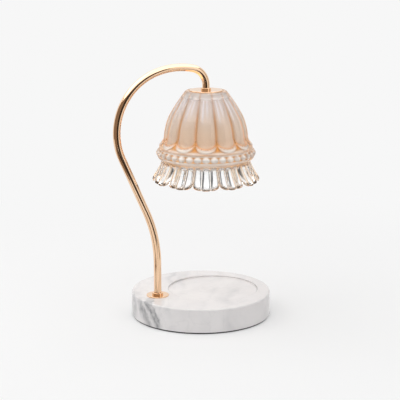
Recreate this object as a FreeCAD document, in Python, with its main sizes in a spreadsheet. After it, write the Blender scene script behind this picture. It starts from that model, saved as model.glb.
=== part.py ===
"""Candle warmer lamp: a marble disc, a bent metal arm and a pressed-glass shade over a warming bulb.

Millimetres, +Z up. The origin is the centre of the base pad's underside. The arm stands in the XZ plane:
its foot is on the -X side and its tip is over the middle of the base.
"""
import FreeCAD, Part
import os
from math import cos, pi, tan
import Sketcher

Vector = FreeCAD.Vector
doc = FreeCAD.newDocument("candle_warmer_lamp")

# ---------------------------------------------------------------------------------------------------------
# Driving dimensions: every size that can be set by itself, in millimetres and degrees.
# ---------------------------------------------------------------------------------------------------------
DIMENSIONS = {
    # marble base and its pad
    "base_radius": 75.0,
    "base_thickness": 25.0,
    "base_edge_round": 1.8,
    "pad_thickness": 1.5,
    "pad_inset": 1.0,
    "recess_depth": 2.0,
    "recess_rim": 12.0,
    "recess_foot_gap": 5.5,
    "recess_edge_round": 0.8,
    # hollows milled into the underside for the wiring and the foot's nut
    "hollow_depth": 14.0,
    "nut_hollow_radius": 15.0,
    "hollow_web": 1.5,
    "channel_width": 12.0,
    # cord inlet in the rim
    "inlet_height": 8.5,
    "inlet_bore_radius": 3.2,
    "grommet_wall": 1.3,
    "grommet_length": 12.0,
    "grommet_flange_radius": 6.2,
    "grommet_flange_thickness": 1.3,
    "spotface_depth": 1.8,
    "spotface_clearance": 0.3,
    # foot fastening
    "foot_inset": 23.5,
    "flange_radius": 12.0,
    "flange_thickness": 1.2,
    "foot_collar_radius": 6.0,
    "foot_collar_height": 2.4,
    "gold_edge_round": 0.4,
    "stub_radius": 5.0,
    "stub_bore_radius": 3.3,
    "stub_hole_clearance": 0.25,
    "thread_gap": 0.05,
    "washer_radius": 10.0,
    "washer_thickness": 1.5,
    "lock_washer_radius": 8.0,
    "lock_washer_thickness": 0.8,
    "nut_flats": 14.0,
    "nut_thickness": 3.5,
    "stub_end_length": 0.8,
    "bush_bore_radius": 2.3,
    "bush_length": 5.0,
    "bush_rim_radius": 4.2,
    "bush_rim_thickness": 0.8,
    # arm: one tube, straight at the foot, leaning back, then over and down to the shade
    "tube_radius": 4.0,
    "tube_wall": 1.0,
    "socket_depth": 1.2,
    "socket_gap": 0.05,
    "foot_run": 32.5,
    "lower_bend_radius": 141.0,
    "lean_angle": 24.3,
    "lean_run": 65.3,
    "side_bend_radius": 64.6,
    "side_bend_angle": 95.7,
    "top_bend_radius": 80.0,
    "top_bend_angle": 31.7,
    "tip_bend_radius": 19.2,
    "tip_run": 3.8,
    # tip ferrule and the flanged cup under it
    "tip_collar_radius": 5.5,
    "tip_collar_height": 2.2,
    "tip_stub_length": 8.2,
    "cap_radius": 17.5,
    "cap_plate": 1.0,
    "cup_radius": 15.0,
    "cup_wall": 0.8,
    "cup_depth": 5.0,
    # seals and ring that hold the glass
    "gasket_thickness": 1.0,
    "gasket_radius": 17.0,
    "seat_gap": 0.2,
    "glass_hole_clearance": 0.3,
    "ring_flange_radius": 20.0,
    "ring_flange_thickness": 2.0,
    "ring_hub_radius": 17.0,
    "ring_height": 7.0,
    "ring_gap": 0.08,
    # lampholder
    "barrel_radius": 14.0,
    "barrel_wall": 1.4,
    "barrel_length": 28.5,
    "holder_cap_gap": 0.1,
    "holder_cap_plate": 3.5,
    "holder_cap_length": 8.0,
    "insert_height": 14.0,
    "insert_shoulder_height": 3.0,
    "insert_shoulder": 0.6,
    "fit_gap": 0.05,
    "pin_spacing": 10.0,
    "lip_thickness": 2.4,
    "pin_clearance": 0.3,
    "entry_clearance": 0.2,
    "lock_angle": 25.0,
    "channel_ceiling": 8.0,
    "contact_thickness": 0.6,
    "contact_width": 3.0,
    "contact_tail_height": 17.0,
    "contact_reach": 4.8,
    "holder_screw_offset": 10.0,
    "holder_screw_radius": 1.25,
    "holder_screw_head_radius": 1.9,
    "holder_screw_head_height": 1.8,
    "holder_screw_length": 28.0,
    # warming bulb
    "bulb_seat_gap": 0.3,
    "bulb_neck_radius": 12.5,
    "bulb_neck_length": 13.0,
    "bulb_shoulder_radius": 14.0,
    "bulb_radius": 25.0,
    "bulb_length": 46.0,
    "reflector_bow_radius": 60.0,
    "reflector_wall": 1.6,
    "lens_thickness": 2.0,
    "pin_neck_radius": 1.6,
    "pin_neck_length": 3.0,
    "pin_head_radius": 2.5,
    "pin_length": 7.1,
    "pin_root_length": 5.0,
    "capsule_radius": 4.5,
    "capsule_length": 20.0,
    # pressed-glass shade
    "petal_count": 12.0,
    "petal_phase": 4.2,
    "flutes_per_petal": 3.0,
    "neck_radius": 22.5,
    "neck_edge_round": 2.0,
    "neck_plate": 3.5,
    "dome_height": 49.5,
    "dome_radius": 45.1,
    "dome_bow_radius": 78.0,
    "glass_wall": 4.0,
    "petal_groove_radius": 3.2,
    "petal_groove_depth": 1.5,
    "petal_groove_start_angle": 5.0,
    "collar_drop": 8.7,
    "collar_radius": 49.7,
    "bead_drop": 13.2,
    "bead_radius": 3.5,
    "bead_circle_radius": 49.6,
    "bead_band_drop": 18.0,
    "waist_drop": 24.0,
    "waist_radius": 47.8,
    "skirt_drop": 45.8,
    "skirt_radius": 57.2,
    "skirt_bow_radius": 42.0,
    "skirt_wall": 3.0,
    "flute_radius": 3.3,
    "flute_rise": 1.3,
    "lobe_depth": 6.0,
    # wiring
    "lead_radius": 0.95,
    "lead_pitch": 2.1,
    "conductor_radius": 0.5,
    "lead_run_height": 4.0,
    "lead_turn_radius": 5.0,
    "lead_straight": 7.0,
    "lead_slope_run": 14.0,
    "lead_fan_drop": 2.7,
    "lead_end_straight": 2.0,
    "lead_bare_end": 2.5,
    "block_reach": 49.5,
    "block_length": 20.0,
    "block_width": 17.0,
    "block_height": 11.0,
    "pole_pitch": 8.0,
    "sleeve_radius": 2.4,
    "sleeve_bore_radius": 1.2,
    "sleeve_length": 18.0,
    "sleeve_drop": 5.0,
    "terminal_screw_radius": 1.3,
    "terminal_screw_length": 4.5,
    "terminal_screw_spacing": 10.0,
    "terminal_screw_head_radius": 1.8,
    "terminal_screw_head_height": 1.2,
}

dims = doc.addObject("Spreadsheet::Sheet", "dims")
for row, (alias, size) in enumerate(DIMENSIONS.items(), start=1):
    dims.set("A%d" % row, alias)
    dims.set("B%d" % row, str(size))
    dims.setAlias("B%d" % row, alias)
doc.recompute()

# Places that follow from the driving dimensions. Each is used by more than one piece.
places = doc.addObject("App::VarSet", "places")


def place(name, expression):
    """Add a derived value that other expressions reach as places.NAME."""
    places.addProperty("App::PropertyFloat", name)
    places.setExpression(name, expression)
    places.recompute()


def number(expression):
    """The present value of an expression, for geometry that code draws."""
    value = places.evalExpression(expression)
    return float(getattr(value, "Value", value))


# heights of the base and the foot's stack
place("marble_top", "dims.pad_thickness + dims.base_thickness")
place("hollow_top", "dims.pad_thickness + dims.hollow_depth")
place("foot_x", "dims.foot_inset - dims.base_radius")
place("recess_near", "places.foot_x + dims.flange_radius + dims.recess_foot_gap")
place("recess_far", "dims.base_radius - dims.recess_rim")
place("recess_radius", "(places.recess_far - places.recess_near) / 2")
place("recess_middle", "(places.recess_far + places.recess_near) / 2")
place("wiring_hollow_radius", "-places.foot_x - dims.nut_hollow_radius - dims.hollow_web")
place("block_centre", "places.foot_x + dims.block_reach")
place("flange_top", "places.marble_top + dims.flange_thickness")
place("washer_floor", "places.hollow_top - dims.washer_thickness")
place("lock_washer_floor", "places.washer_floor - dims.lock_washer_thickness")
place("nut_floor", "places.lock_washer_floor - dims.nut_thickness")
place("stub_floor", "places.nut_floor - dims.stub_end_length")
place("foot_collar_top", "places.flange_top + dims.foot_collar_height")

# the arm's centreline, joint by joint, as the tangent runs and bends lie in the XZ plane
place("tube_foot_z", "places.foot_collar_top - dims.socket_depth")
place("bend_start_z", "places.tube_foot_z + dims.foot_run")
place("lean_start_x", "places.foot_x - dims.lower_bend_radius * (1 - cos(dims.lean_angle))")
place("lean_start_z", "places.bend_start_z + dims.lower_bend_radius * sin(dims.lean_angle)")
place("lean_end_x", "places.lean_start_x - dims.lean_run * sin(dims.lean_angle)")
place("lean_end_z", "places.lean_start_z + dims.lean_run * cos(dims.lean_angle)")
place("side_heading", "dims.side_bend_angle - dims.lean_angle")
place("side_end_x", "places.lean_end_x"
      " + dims.side_bend_radius * (cos(dims.lean_angle) - cos(places.side_heading))")
place("side_end_z", "places.lean_end_z"
      " + dims.side_bend_radius * (sin(dims.lean_angle) + sin(places.side_heading))")
place("top_heading", "places.side_heading + dims.top_bend_angle")
place("top_end_x", "places.side_end_x"
      " + dims.top_bend_radius * (cos(places.side_heading) - cos(places.top_heading))")
place("top_end_z", "places.side_end_z"
      " + dims.top_bend_radius * (sin(places.top_heading) - sin(places.side_heading))")
place("tip_x", "places.top_end_x + dims.tip_bend_radius * (1 + cos(places.top_heading))")
place("tip_bend_z", "places.top_end_z - dims.tip_bend_radius * sin(places.top_heading)")
place("tube_tip_z", "places.tip_bend_z - dims.tip_run")

# the stack that hangs from the arm's tip
place("cap_top", "places.tube_tip_z + dims.socket_depth - dims.tip_collar_height")
place("cap_floor", "places.cap_top - dims.cap_plate")
place("glass_top", "places.cap_floor - dims.gasket_thickness - dims.seat_gap")
place("glass_hole_radius", "dims.cup_radius + dims.glass_hole_clearance")
place("ring_top", "places.glass_top - dims.neck_plate - dims.seat_gap - dims.gasket_thickness")
place("ring_bore_radius", "dims.barrel_radius + dims.ring_gap")
place("barrel_top", "places.cap_floor - dims.holder_cap_plate")
place("holder_face", "places.barrel_top - dims.barrel_length")
place("screw_grip",
      "places.holder_face + dims.holder_screw_length - places.cap_floor + dims.holder_cap_length")
place("tip_stub_floor", "places.cap_top - dims.tip_stub_length")
place("insert_radius", "dims.barrel_radius - dims.barrel_wall - dims.insert_shoulder - dims.fit_gap")
place("bulb_seat", "places.holder_face - dims.bulb_seat_gap")
place("thread_bore_radius", "dims.stub_radius + dims.thread_gap")
place("pole_height", "places.hollow_top - dims.sleeve_drop")
place("terminal_screw_floor", "places.pole_height - dims.conductor_radius - dims.terminal_screw_length")

# the glass shade's own places, in its local frame: Z = 0 is the top of its neck
place("dome_foot", "-dims.dome_height")
place("collar_edge", "places.dome_foot - dims.collar_drop")
place("bead_line", "places.dome_foot - dims.bead_drop")
place("band_foot", "places.dome_foot - dims.bead_band_drop")
place("waist", "places.dome_foot - dims.waist_drop")
place("skirt_foot", "places.dome_foot - dims.skirt_drop")
place("dome_rise", "dims.dome_height - dims.neck_edge_round")
place("dome_spread", "dims.dome_radius - dims.neck_radius")
place("dome_chord", "sqrt(places.dome_rise ^ 2 + places.dome_spread ^ 2)")
place("dome_bow_offset", "sqrt(dims.dome_bow_radius ^ 2 - places.dome_chord ^ 2 / 4) / places.dome_chord")
place("dome_centre_x",
      "(dims.dome_radius + dims.neck_radius) / 2 - places.dome_bow_offset * places.dome_rise")
place("dome_centre_z",
      "places.dome_foot + places.dome_rise / 2 - places.dome_bow_offset * places.dome_spread")
place("dome_foot_angle", "asin((places.dome_foot - places.dome_centre_z) / dims.dome_bow_radius) / 1 deg")
place("dome_neck_angle",
      "asin((-dims.neck_edge_round - places.dome_centre_z) / dims.dome_bow_radius) / 1 deg")
place("flute_count", "dims.petal_count * dims.flutes_per_petal")
place("skirt_bore", "dims.waist_radius - dims.flute_rise - dims.skirt_wall")
place("skirt_mouth", "dims.skirt_radius - dims.flute_rise - dims.skirt_wall")
place("lobe_half_width", "dims.skirt_radius * sin(180 / dims.petal_count)")


# ---------------------------------------------------------------------------------------------------------
# Helpers
# ---------------------------------------------------------------------------------------------------------
SUB_PARTS = []
RUN_SHARE = 0.45    # share of the shorter run that a bend of the leads may use


def finish(sub_part, label, where=("0", "0", "0"), turn=None):
    """Name a sub-part, place it in the lamp's frame and list it for checking and export."""
    sub_part.Label = label
    for axis, expression in zip("xyz", where):
        sub_part.setExpression("Placement.Base.%s" % axis, expression)
    if turn:
        sub_part.Placement.Rotation = FreeCAD.Rotation(Vector(0, 0, 1), 1)
        sub_part.setExpression("Placement.Rotation.Angle", turn)
    SUB_PARTS.append(sub_part)
    return sub_part


def origin_feature(body, role):
    return next(feature for feature in body.Origin.OriginFeatures if feature.Role == role)


def new_sketch(body, name, plane="XZ_Plane", lift=None, swing=None):
    """A sketch on one of its body's origin planes.

    lift moves it along the plane's normal, and swing turns an upright plane about the body's Z axis.
    """
    sketch = body.newObject("Sketcher::SketchObject", name)
    sketch.AttachmentSupport = [(origin_feature(body, plane), "")]
    sketch.MapMode = "FlatFace"
    if lift:
        sketch.setExpression("AttachmentOffset.Base.z", lift)
    if swing:
        turned = FreeCAD.Rotation(Vector(0, 1, 0), number(swing))
        sketch.AttachmentOffset = FreeCAD.Placement(Vector(), turned)
        sketch.setExpression("AttachmentOffset.Rotation.Angle", swing)
    return sketch


def bind_point(sketch, geometry, end, x, y):
    """Hold one end of a sketch edge at two expressions, measured from the sketch's origin."""
    for kind, expression in (("DistanceX", x), ("DistanceY", y)):
        index = sketch.addConstraint(
            Sketcher.Constraint(kind, -1, 1, geometry, end, number(expression)))
        sketch.setExpression("Constraints[%d]" % index, expression)


def bow_middle(start, end, radius):
    """Middle point of the short arc from start to end. A positive radius bows to the right of the way."""
    chord = end - start
    half = chord.Length / 2
    sagitta = abs(radius) - (radius * radius - half * half) ** 0.5
    right = Vector(chord.y, -chord.x, 0).normalize()
    return (start + end) / 2 + right * (sagitta if radius > 0 else -sagitta)


def draw(sketch, corners, closed=True):
    """Draw edges through corners (x, y) or (x, y, radius, bow): the edge after such a corner is an arc.

    bow is 1 where the arc bows to the right of the way round and -1 where it bows to the left.
    """
    points = [Vector(number(corner[0]), number(corner[1]), 0) for corner in corners]
    count = len(corners) if closed else len(corners) - 1
    starts, ends = [], []
    for i in range(count):
        start, end = points[i], points[(i + 1) % len(points)]
        if len(corners[i]) == 2:
            sketch.addGeometry(Part.LineSegment(start, end), False)
            starts.append(1)
            ends.append(2)
            continue
        radius, bow = number(corners[i][2]), corners[i][3]
        middle = bow_middle(start, end, radius * bow)
        anticlockwise = bow > 0
        arc = Part.Arc(start, middle, end) if anticlockwise else Part.Arc(end, middle, start)
        sketch.addGeometry(arc, False)
        starts.append(1 if anticlockwise else 2)
        ends.append(2 if anticlockwise else 1)
    for i in range(count if closed else count - 1):
        following = (i + 1) % count
        sketch.addConstraint(
            Sketcher.Constraint("Coincident", i, ends[i], following, starts[following]))
    for i in range(count):
        bind_point(sketch, i, starts[i], corners[i][0], corners[i][1])
        if len(corners[i]) > 2:
            index = sketch.addConstraint(Sketcher.Constraint("Radius", i, number(corners[i][2])))
            sketch.setExpression("Constraints[%d]" % index, corners[i][2])
    if not closed:
        bind_point(sketch, count - 1, ends[-1], corners[-1][0], corners[-1][1])


def draw_circle(sketch, radius, x="0", y="0"):
    centre = Vector(number(x), number(y), 0)
    circle = sketch.addGeometry(Part.Circle(centre, Vector(0, 0, 1), number(radius)), False)
    bind_point(sketch, circle, 3, x, y)
    index = sketch.addConstraint(Sketcher.Constraint("Radius", circle, number(radius)))
    sketch.setExpression("Constraints[%d]" % index, radius)


def turn_up(body, name, corners):
    """Revolve a closed outline of (radius, height) corners about the body's Z axis."""
    sketch = new_sketch(body, name + "_outline")
    draw(sketch, corners)
    turning = body.newObject("PartDesign::Revolution", name + "_turning")
    turning.Profile = sketch
    turning.ReferenceAxis = (sketch, ["V_Axis"])
    turning.Angle = 360
    return turning


def turned_part(name, corners, where):
    """A sub-part that is turned from one outline."""
    body = doc.addObject("PartDesign::Body", name)
    turn_up(body, name, corners)
    return finish(body, name, where)


def rounded_rim(radius, height):
    """Outline corners of a plated part's outer top edge, rounded over."""
    edge = "dims.gold_edge_round"
    return [(radius, "%s - %s" % (height, edge), edge, 1), ("%s - %s" % (radius, edge), height)]


def ring_part(name, outer_radius, inner_radius, height, where):
    """A plain ring or washer that stands on its own local Z = 0."""
    return turned_part(name, [(inner_radius, "0"), (outer_radius, "0"),
                              (outer_radius, height), (inner_radius, height)], where)


def pad_up(body, name, sketch, height):
    pad = body.newObject("PartDesign::Pad", name)
    pad.Profile = sketch
    pad.setExpression("Length", height)
    return pad


def cut_in(body, name, sketch, depth, reverse=False):
    """Pocket a sketch and make sure that it took material away."""
    doc.recompute()
    before = body.Shape.Volume
    pocket = body.newObject("PartDesign::Pocket", name)
    pocket.Profile = sketch
    pocket.Reversed = reverse
    pocket.setExpression("Length", depth)
    doc.recompute()
    if body.Shape.Volume > before - 1e-3:
        raise RuntimeError("%s cut nothing" % name)
    return pocket


def cut_bore(body, name, corners):
    """Turn out a closed outline of (radius, height) corners and make sure that it took material away."""
    doc.recompute()
    before = body.Shape.Volume
    sketch = new_sketch(body, name + "_outline")
    draw(sketch, corners)
    groove = body.newObject("PartDesign::Groove", name)
    groove.Profile = sketch
    groove.ReferenceAxis = (sketch, ["V_Axis"])
    groove.Angle = 360
    doc.recompute()
    if body.Shape.Volume > before - 1e-3:
        raise RuntimeError("%s cut nothing" % name)
    return groove


def pattern(body, name, features, count, plain_count):
    """Repeat features evenly all round the body's Z axis."""
    polar = body.newObject("PartDesign::PolarPattern", name)
    polar.Originals = features
    polar.Axis = (origin_feature(body, "Z_Axis"), [""])
    polar.Angle = 360
    polar.Occurrences = plain_count
    polar.setExpression("Occurrences", count)
    body.Tip = polar
    return polar


def circles(shape, radius, height):
    """Names of a shape's circular edges of one radius at one height."""
    names = []
    for index, edge in enumerate(shape.Edges, start=1):
        curve = edge.Curve
        if curve.TypeId == "Part::GeomCircle" and abs(curve.Radius - radius) < 1e-4 \
                and abs(curve.Center.z - height) < 1e-4:
            names.append("Edge%d" % index)
    return names


def round_over(body, name, feature, edges, radius):
    fillet = body.newObject("PartDesign::Fillet", name)
    fillet.Base = (feature, edges)
    fillet.setExpression("Radius", radius)
    body.Tip = fillet
    doc.recompute()
    return fillet


# ---------------------------------------------------------------------------------------------------------
# Base
# ---------------------------------------------------------------------------------------------------------
def make_marble_base():
    """The disc, with the candle's recess on top and the hollows for nut and wiring underneath."""
    body = doc.addObject("PartDesign::Body", "marble_base")
    outline = new_sketch(body, "disc_outline", "XY_Plane")
    draw_circle(outline, "dims.base_radius")
    pad_up(body, "disc", outline, "dims.base_thickness")

    recess = new_sketch(body, "recess_outline", "XY_Plane", "dims.base_thickness")
    draw_circle(recess, "places.recess_radius", "places.recess_middle")
    cut_in(body, "recess", recess, "dims.recess_depth")

    hollow = new_sketch(body, "wiring_hollow_outline", "XY_Plane")
    draw_circle(hollow, "places.wiring_hollow_radius")
    cut_in(body, "wiring_hollow", hollow, "dims.hollow_depth", reverse=True)

    nut_room = new_sketch(body, "nut_hollow_outline", "XY_Plane")
    draw_circle(nut_room, "dims.nut_hollow_radius", "places.foot_x")
    cut_in(body, "nut_hollow", nut_room, "dims.hollow_depth", reverse=True)

    channel = new_sketch(body, "channel_outline", "XY_Plane")
    near, far = "-dims.channel_width / 2", "dims.channel_width / 2"
    draw(channel, [("places.foot_x", near), ("0", near), ("0", far), ("places.foot_x", far)])
    cut_in(body, "channel", channel, "dims.hollow_depth", reverse=True)

    stub_hole = new_sketch(body, "stub_hole_outline", "XY_Plane")
    draw_circle(stub_hole, "dims.stub_radius + dims.stub_hole_clearance", "places.foot_x")
    cut_in(body, "stub_hole", stub_hole, "dims.base_thickness", reverse=True)

    inlet = new_sketch(body, "inlet_outline")
    draw_circle(inlet, "dims.inlet_bore_radius + dims.grommet_wall",
                "0", "dims.inlet_height - dims.pad_thickness")
    cut_in(body, "inlet", inlet, "dims.base_radius")

    spotface = new_sketch(body, "spotface_outline", "XZ_Plane", "dims.spotface_depth - dims.base_radius")
    draw_circle(spotface, "dims.grommet_flange_radius + dims.spotface_clearance",
                "0", "dims.inlet_height - dims.pad_thickness")
    cut = cut_in(body, "spotface", spotface, "dims.base_radius")

    top = number("dims.base_thickness")
    rim = circles(cut.Shape, number("dims.base_radius"), top)
    rounded = round_over(body, "rim_round", cut, rim, "dims.base_edge_round")
    recess_radius, floor = number("places.recess_radius"), number("dims.base_thickness - dims.recess_depth")
    edge = circles(rounded.Shape, recess_radius, top) + circles(rounded.Shape, recess_radius, floor)
    round_over(body, "recess_round", rounded, edge, "dims.recess_edge_round")
    return finish(body, "marble_base", ("0", "0", "dims.pad_thickness"))


def make_base_pad():
    """Thin foam pad that closes the hollows and keeps the stone off the table."""
    pad = doc.addObject("Part::Cylinder", "base_pad")
    pad.setExpression("Radius", "dims.base_radius - dims.pad_inset")
    pad.setExpression("Height", "dims.pad_thickness")
    return finish(pad, "base_pad")


def make_cord_grommet():
    """Flanged bush in the back of the rim. Its local Z points out along the cord's way, which is +Y."""
    bore, barrel = "dims.inlet_bore_radius", "dims.inlet_bore_radius + dims.grommet_wall"
    flange, length = "dims.grommet_flange_radius", "dims.grommet_length"
    body = doc.addObject("PartDesign::Body", "cord_grommet")
    turn_up(body, "cord_grommet", [
        (bore, "-(%s)" % length), (barrel, "-(%s)" % length), (barrel, "0"), (flange, "0"),
        (flange, "dims.grommet_flange_thickness"), (bore, "dims.grommet_flange_thickness")])
    finish(body, "cord_grommet", ("0", "dims.base_radius - dims.spotface_depth", "dims.inlet_height"))
    body.Placement.Rotation = FreeCAD.Rotation(Vector(1, 0, 0), -90)
    return body


# ---------------------------------------------------------------------------------------------------------
# Foot of the arm
# ---------------------------------------------------------------------------------------------------------
def make_ferrule(name, collar_radius, collar_height, stub_length, where):
    """Turned collar with a socket for the tube on one side and a hollow threaded stub on the other.

    Local Z = 0 is the collar's face on the stub's side. The collar stands on +Z, and the stub hangs below.
    """
    socket = "dims.tube_radius + dims.socket_gap"
    floor = "%s - dims.socket_depth" % collar_height
    return turned_part(name, [
        ("dims.stub_bore_radius", "-(%s)" % stub_length), ("dims.stub_radius", "-(%s)" % stub_length),
        ("dims.stub_radius", "0"), (collar_radius, "0"), *rounded_rim(collar_radius, collar_height),
        (socket, collar_height), (socket, floor), ("dims.stub_bore_radius", floor)], where)


def make_bush(name, where):
    """Nylon bush pressed into a stub's open end, so that the leads run over no sharp edge."""
    outer = "dims.stub_bore_radius - dims.fit_gap"
    return turned_part(name, [
        ("dims.bush_bore_radius", "-dims.bush_rim_thickness"),
        ("dims.bush_rim_radius", "-dims.bush_rim_thickness"), ("dims.bush_rim_radius", "0"), (outer, "0"),
        (outer, "dims.bush_length"), ("dims.bush_bore_radius", "dims.bush_length")], where)


def make_foot_nut():
    body = doc.addObject("PartDesign::Body", "foot_nut")
    sketch = new_sketch(body, "nut_outline", "XY_Plane")
    corner = "dims.nut_flats / sqrt(3)"
    draw(sketch, [("%s * cos(%d)" % (corner, angle), "%s * sin(%d)" % (corner, angle))
                  for angle in range(0, 360, 60)])
    draw_circle(sketch, "places.thread_bore_radius")
    pad_up(body, "nut", sketch, "dims.nut_thickness")
    return finish(body, "foot_nut", ("places.foot_x", "0", "places.nut_floor"))


def make_foot():
    """Everything that clamps the arm to the marble."""
    bore = "places.thread_bore_radius"
    turned_part("foot_flange", [
        (bore, "0"), ("dims.flange_radius", "0"), *rounded_rim("dims.flange_radius", "dims.flange_thickness"),
        (bore, "dims.flange_thickness")], ("places.foot_x", "0", "places.marble_top"))
    make_ferrule("foot_ferrule", "dims.foot_collar_radius", "dims.foot_collar_height",
                 "places.flange_top - places.stub_floor", ("places.foot_x", "0", "places.flange_top"))
    ring_part("foot_washer", "dims.washer_radius", bore, "dims.washer_thickness",
              ("places.foot_x", "0", "places.washer_floor"))
    ring_part("foot_lock_washer", "dims.lock_washer_radius", bore, "dims.lock_washer_thickness",
              ("places.foot_x", "0", "places.lock_washer_floor"))
    make_foot_nut()
    make_bush("foot_bush", ("places.foot_x", "0", "places.stub_floor"))


# ---------------------------------------------------------------------------------------------------------
# Arm
# ---------------------------------------------------------------------------------------------------------
def make_arm():
    """One bent tube. Its path is returned too, because the leads inside follow it."""
    body = doc.addObject("PartDesign::Body", "arm_tube")
    path = new_sketch(body, "arm_path")
    draw(path, [
        ("places.foot_x", "places.tube_foot_z"),
        ("places.foot_x", "places.bend_start_z", "dims.lower_bend_radius", 1),
        ("places.lean_start_x", "places.lean_start_z"),
        ("places.lean_end_x", "places.lean_end_z", "dims.side_bend_radius", -1),
        ("places.side_end_x", "places.side_end_z", "dims.top_bend_radius", -1),
        ("places.top_end_x", "places.top_end_z", "dims.tip_bend_radius", -1),
        ("places.tip_x", "places.tip_bend_z"),
        ("places.tip_x", "places.tube_tip_z")], closed=False)
    section = new_sketch(body, "tube_section", "XY_Plane", "places.tube_foot_z")
    draw_circle(section, "dims.tube_radius", "places.foot_x")
    draw_circle(section, "dims.tube_radius - dims.tube_wall", "places.foot_x")
    tube = body.newObject("PartDesign::AdditivePipe", "bent_tube")
    tube.Profile = section
    tube.Spine = (path, ["Edge%d" % (i + 1) for i in range(7)])
    finish(body, "arm_tube")
    return path


# ---------------------------------------------------------------------------------------------------------
# Shade fastening and lampholder, all round the axis through the arm's tip
# ---------------------------------------------------------------------------------------------------------
def on_tip(height):
    return ("places.tip_x", "0", height)


def make_shade_cap():
    """Flanged cup: the flange covers the glass's neck and the wall centres the glass's hole."""
    wall_floor = "-(dims.cap_plate + dims.cup_depth)"
    inside = "dims.cup_radius - dims.cup_wall"
    return turned_part("shade_cap", [
        ("places.thread_bore_radius", "-dims.cap_plate"), (inside, "-dims.cap_plate"), (inside, wall_floor),
        ("dims.cup_radius", wall_floor), ("dims.cup_radius", "-dims.cap_plate"),
        ("dims.cap_radius", "-dims.cap_plate"), *rounded_rim("dims.cap_radius", "0"),
        ("places.thread_bore_radius", "0")],
        on_tip("places.cap_top"))


def make_seals_and_ring():
    """The gaskets over and under the glass's shoulder, and the threaded ring that presses them together."""
    ring_part("upper_gasket", "dims.gasket_radius", "dims.cup_radius + dims.fit_gap", "dims.gasket_thickness",
              on_tip("places.cap_floor - dims.gasket_thickness"))
    ring_part("lower_gasket", "dims.ring_flange_radius - dims.seat_gap",
              "places.glass_hole_radius", "dims.gasket_thickness", on_tip("places.ring_top"))
    bore = "places.ring_bore_radius"
    turned_part("shade_ring", [
        (bore, "-dims.ring_height"), ("dims.ring_hub_radius", "-dims.ring_height"),
        ("dims.ring_hub_radius", "-dims.ring_flange_thickness"),
        ("dims.ring_flange_radius", "-dims.ring_flange_thickness"),
        ("dims.ring_flange_radius", "0"), (bore, "0")], on_tip("places.ring_top"))


def make_holder_shell():
    """Cap with the threaded entry, and the threaded barrel under it that the shade ring screws on."""
    cap_radius = "dims.cup_radius - dims.cup_wall - dims.holder_cap_gap"
    barrel_bore = "dims.barrel_radius - dims.barrel_wall"
    spigot = "%s - dims.fit_gap" % barrel_bore
    cap = doc.addObject("PartDesign::Body", "holder_cap")
    turn_up(cap, "holder_cap", [
        ("places.thread_bore_radius", "-dims.holder_cap_length"), (spigot, "-dims.holder_cap_length"),
        (spigot, "-dims.holder_cap_plate"), (cap_radius, "-dims.holder_cap_plate"),
        (cap_radius, "0"), ("places.thread_bore_radius", "0")])
    tapping = new_sketch(cap, "screw_tapping_outline", "XY_Plane", "-dims.holder_cap_length")
    for sign in ("", "-"):
        draw_circle(tapping, "dims.holder_screw_radius + dims.fit_gap", sign + "dims.holder_screw_offset")
    cut_in(cap, "screw_tapping", tapping, "places.screw_grip + dims.pin_clearance", reverse=True)
    finish(cap, "holder_cap", on_tip("places.cap_floor"))
    step_height = "dims.insert_height - dims.insert_shoulder_height"
    lower_bore = "%s - dims.insert_shoulder" % barrel_bore
    turned_part("holder_barrel", [
        (lower_bore, "0"), ("dims.barrel_radius", "0"), ("dims.barrel_radius", "dims.barrel_length"),
        (barrel_bore, "dims.barrel_length"), (barrel_bore, step_height), (lower_bore, step_height)],
        on_tip("places.holder_face"))


def cut_round(body, name, inner_radius, outer_radius, floor, ceiling, angle):
    """Groove a rectangle part of the way round the Z axis, evenly to both sides of the XZ plane."""
    doc.recompute()
    before = body.Shape.Volume
    sketch = new_sketch(body, name + "_outline")
    draw(sketch, [(inner_radius, floor), (outer_radius, floor),
                  (outer_radius, ceiling), (inner_radius, ceiling)])
    groove = body.newObject("PartDesign::Groove", name)
    groove.Profile = sketch
    groove.ReferenceAxis = (sketch, ["V_Axis"])
    groove.Midplane = True
    groove.setExpression("Angle", angle)
    doc.recompute()
    if body.Shape.Volume > before - 1e-3:
        raise RuntimeError("%s cut nothing" % name)
    return groove


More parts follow.
